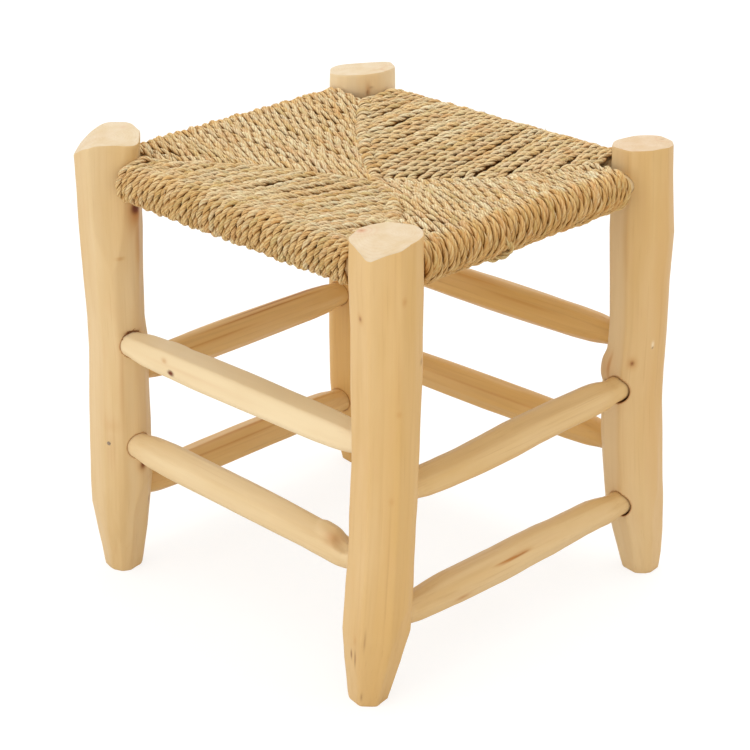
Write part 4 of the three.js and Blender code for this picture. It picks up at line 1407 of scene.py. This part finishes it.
def build_cord(material):
    """Over the right rail the cord is twisted less and its plies lie flatter. Over the front rail
    it is twisted more. The lower layer is thicker, so that it closes the seat."""
    line, arc, hidden = cord_line()
    section = cord_section()
    ply = section[:, 2].astype(int)
    edge = at_edge(line[:, :2]).max(axis=1)
    slack = at_edge(np.maximum(line[:, 0], 0))
    tight = at_edge(np.minimum(line[:, 1], 0))
    lower = np.clip((RAIL_HEIGHT - RAIL_RADIUS / 2 - line[:, 2]) / RAIL_RADIUS, 0, 0.5) * (1 - edge)
    lay = LAY * (1 + 0.4 * slack - 0.3 * tight)
    twist = np.cumsum(np.gradient(arc) / lay) * 2 * math.pi + 0.8 * drift(arc, 60 * MM, 20)
    flatter = (0.15 * edge + 0.25 * slack + 0.15 * tight)[:, None]
    profile = section[None, :, 0] * (1 - flatter) + section[:, 0].mean() * flatter
    size = 1 + 0.06 * drift(arc, 33 * MM, 21) + 0.05 * drift(arc, 9 * MM, 22)
    size = size * (1 + 0.1 * edge + 0.05 * tight + 0.3 * lower)
    plies = np.stack([1 + 0.18 * drift(arc, 17 * MM, 23 + k) for k in (0, 1)], axis=-1)
    angles = twist[:, None] + section[None, :, 1]
    rings, facing = cord_rings(line, angles, profile * size[:, None] * plies[:, ply])

    tint = 0.5 + 0.28 * drift(arc, 110 * MM, 30)
    tint = tint + ply_drift(arc, [(26 * MM, 0.22), (10 * MM, 0.22)], 34)
    hue = ply_drift(arc, [(120 * MM, 0.8), (40 * MM, 0.5), (13 * MM, 0.6)], 40)
    wander = 0.4 * drift(arc, 30 * MM, 60)[:, None]
    out, _ = away_from_middle(line)
    # Painted shade where the skin faces down or in, towards the middle of the seat.
    painted_underside_shade = np.clip((0.45 - np.einsum("ijk,ik->ij", facing, out)) / 0.9, 0, 1)
    painted_cord_shade = np.maximum(section[None, :, 3], painted_underside_shade)
    layers = {
        # Painted shade on the outer sides of the wraps: the tint is lowered there, most over the
        # right rail and least over the front rail.
        "tint": tint.T[:, ply] - (0.75 * edge + 0.5 * slack - 0.3 * tight)[:, None],
        "hue": hue.T[:, ply],
        # Painted shade on the hidden layers too.
        "painted_cord_shade": np.maximum(painted_cord_shade, 0.9 * hidden[:, None]),
        "leaf": section[None, :, 4] * LEAVES - arc[:, None] / STRAND_LAY + wander,
        "fibre": fibre_places(arc, len(section)),
    }
    bounds = [round(len(line) * k / PIECES) for k in range(PIECES + 1)]
    for k in range(PIECES):
        rows = slice(bounds[k], bounds[k + 1] + 1)
        own = {name: values[rows] for name, values in layers.items()}
        cord_piece(f"seat_cord_{k + 1}", rings[rows], own, material)
    return line


def away_from_middle(line):
    """The way out of the seat at each point, round the rails too, and how far out it is."""
    rails, _, _ = seat_plan()
    ends = np.array([[tuple(end) for end in rail] for rail in rails])
    low = np.array([ends[3, :, 0].mean(), ends[0, :, 1].mean()])
    high = np.array([ends[1, :, 0].mean(), ends[2, :, 1].mean()])
    inwards = np.clip(1 - np.max(np.abs(line[:, :2]) / high, axis=1), 0, 1)
    height = RAIL_HEIGHT - SEAT_DISH / 2 * inwards
    middle = np.column_stack([np.clip(line[:, :2], low, high), height])
    out = line - middle
    far = np.maximum(np.linalg.norm(out, axis=1), 1e-6)
    return out / far[:, None], far


# A short length of cord knotted in under the right rail: (turn, degrees round the rail from its
# top, distance from its axis in millimetres)
SPLICE = [
    (10.6, 160, 14),
    (11.8, 146, 19.5),
    (13.2, 138, 21.5),
    (14.4, 126, 21.5),
    (14.2, 106, 20.5),
    (13.6, 84, 15),
]


def build_splice(material):
    rails, outward, _ = seat_plan()
    spots = []
    for turn, degrees, far in SPLICE:
        angle = math.radians(degrees)
        way = outward[1] * math.sin(angle) + UP * math.cos(angle)
        rail = rails[1][0].lerp(rails[1][1], (turn + 0.5) / (2 * CORD_TURNS))
        spots.append(tuple(rail + way * far * MM))
    line, _ = smooth_line(np.array(spots), np.full(len(spots), 1.2 * MM))
    arc = arc_lengths(line)
    section = cord_section()
    angles = (arc / (0.8 * LAY) * 2 * math.pi)[:, None] + section[None, :, 1]
    reach = np.repeat(0.8 * section[None, :, 0], len(line), axis=0)
    rings, _ = cord_rings(line, angles, reach)
    blank = np.zeros(reach.shape)
    layers = {
        "tint": blank + 0.1,
        "hue": blank - 1.2,
        # Painted shade in the grooves between its plies.
        "painted_cord_shade": blank + 0.6 * section[None, :, 3],
        "leaf": section[None, :, 4] * LEAVES - arc[:, None] / STRAND_LAY,
        "fibre": fibre_places(arc, len(section)),
    }
    cord_piece("cord_splice", rings, layers, material)


FIBRES = 260
# The ends of one long fibre by the right diagonal
STRAY = [Vector((77, 24, 428)) * MM, Vector((57, 46, 431)) * MM]


def fibre_rings(line, radius):
    """A thin fibre with three sides, which tapers to its end."""
    angles = np.tile(np.arange(3) / 3 * 2 * math.pi, (len(line), 1))
    taper = np.linspace(1, 0.25, len(line))[:, None]
    return cord_rings(line, angles, radius * taper * np.ones(angles.shape))[0]


def build_fibres(line, material):
    """Loose ends of leaf that stand out of the cord all over the seat, as one piece."""
    source = np.random.default_rng(17)
    tangents = np.gradient(line, axis=0)
    tangents /= np.linalg.norm(tangents, axis=1)[:, None]
    out, far = away_from_middle(line)
    beside_posts = np.abs(line[:, :2]).min(axis=1) >= 0.77 * SPACING / 2
    places = np.flatnonzero((out[:, 2] > -0.25) & (far > 6 * MM) & ~beside_posts)
    share = np.linspace(0, 1, 6)[:, None]
    stray = np.array(STRAY[0].lerp(STRAY[1], 0.5)) + (share - 0.5) * np.array(STRAY[1] - STRAY[0])
    skins = [skin(fibre_rings(stray, 0.35 * MM))]
    for place in source.choice(places, FIBRES, replace=False):
        side = np.cross(tangents[place], out[place])
        turn = source.uniform(-0.8, 0.8)
        way = (tangents[place] * math.cos(turn) + side * math.sin(turn)) * source.choice([-1, 1])
        length = source.uniform(6, 17) * MM
        lift = 0.36 * CORD + source.uniform(0.3, 1.8) * MM * share ** 1.5
        curl = side * source.uniform(-1.5, 1.5) * MM * np.sin(math.pi * share)
        path = line[place] + way * length * share + out[place] * lift + curl
        skins.append(skin(fibre_rings(path, source.uniform(0.16, 0.3) * MM)))
    points, faces = joined_skins(skins)
    piece = new_piece("loose_fibres", points, faces, material)
    count = len(points)
    for name, value in (("tint", 0.9), ("hue", 0), ("painted_cord_shade", 0), ("leaf", 0.25)):
        store(piece.data, name, np.full(count, float(value)))
    store(piece.data, "fibre", points * 30)
    dress(piece, "woven_seat")


def strip_map(mesh, rings, sides):
    """A map of the cord's skin as strips, side by side, for baking. A face of the skin is about
    2.2 mm long and 1.7 mm wide."""
    length = rings - 1
    rows = max(1, round(math.sqrt(length * 2.2 / (sides * 1.7))))
    per_row = math.ceil(length / rows)
    layer = mesh.uv_layers.new(name="OFBake")
    uv = np.zeros((len(mesh.loops), 2))
    ring = np.repeat(np.arange(length), sides)
    side = np.tile(np.arange(sides), length)
    row, place = ring // per_row, ring % per_row
    width = 0.9 / sides
    low = (row + 0.05 + side * width) / rows
    high = low + width / rows
    start, end = place / per_row, (place + 1) / per_row
    corners = [(start, low), (start, high), (end, high), (end, low)]
    quads = np.stack([np.stack(corner, -1) for corner in corners], axis=1)
    uv[: length * sides * 4] = quads.reshape(-1, 2)
    layer.data.foreach_set("uv", uv.ravel())


def main():
    scene = bpy.context.scene
    scene.view_settings.view_transform = "Standard"
    add_camera()
    for lamp in LAMPS:
        add_lamp(*lamp)
    add_sky()
    add_floor()

    wood = wood_material("wood_post", *POST_COLOURS, 0.15, 0.1)
    bars = wood_material("wood_stretcher", *STRETCHER_COLOURS, 0.08, 0.26)
    sawn = sawn_material()
    for k in range(4):
        build_post(k, wood, sawn)
    for index in range(len(STRETCHERS)):
        build_stretcher(index, bars)
    build_splinters(wood)
    build_nail(steel_material())
    for rail in ("front", "right", "back", "left"):
        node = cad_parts[f"seat_rail_{rail}"]
        node.data.materials.clear()
        node.data.materials.append(bars)
    leaf = cord_material()
    line = build_cord(leaf)
    build_splice(leaf)
    build_fibres(line, leaf)


main()
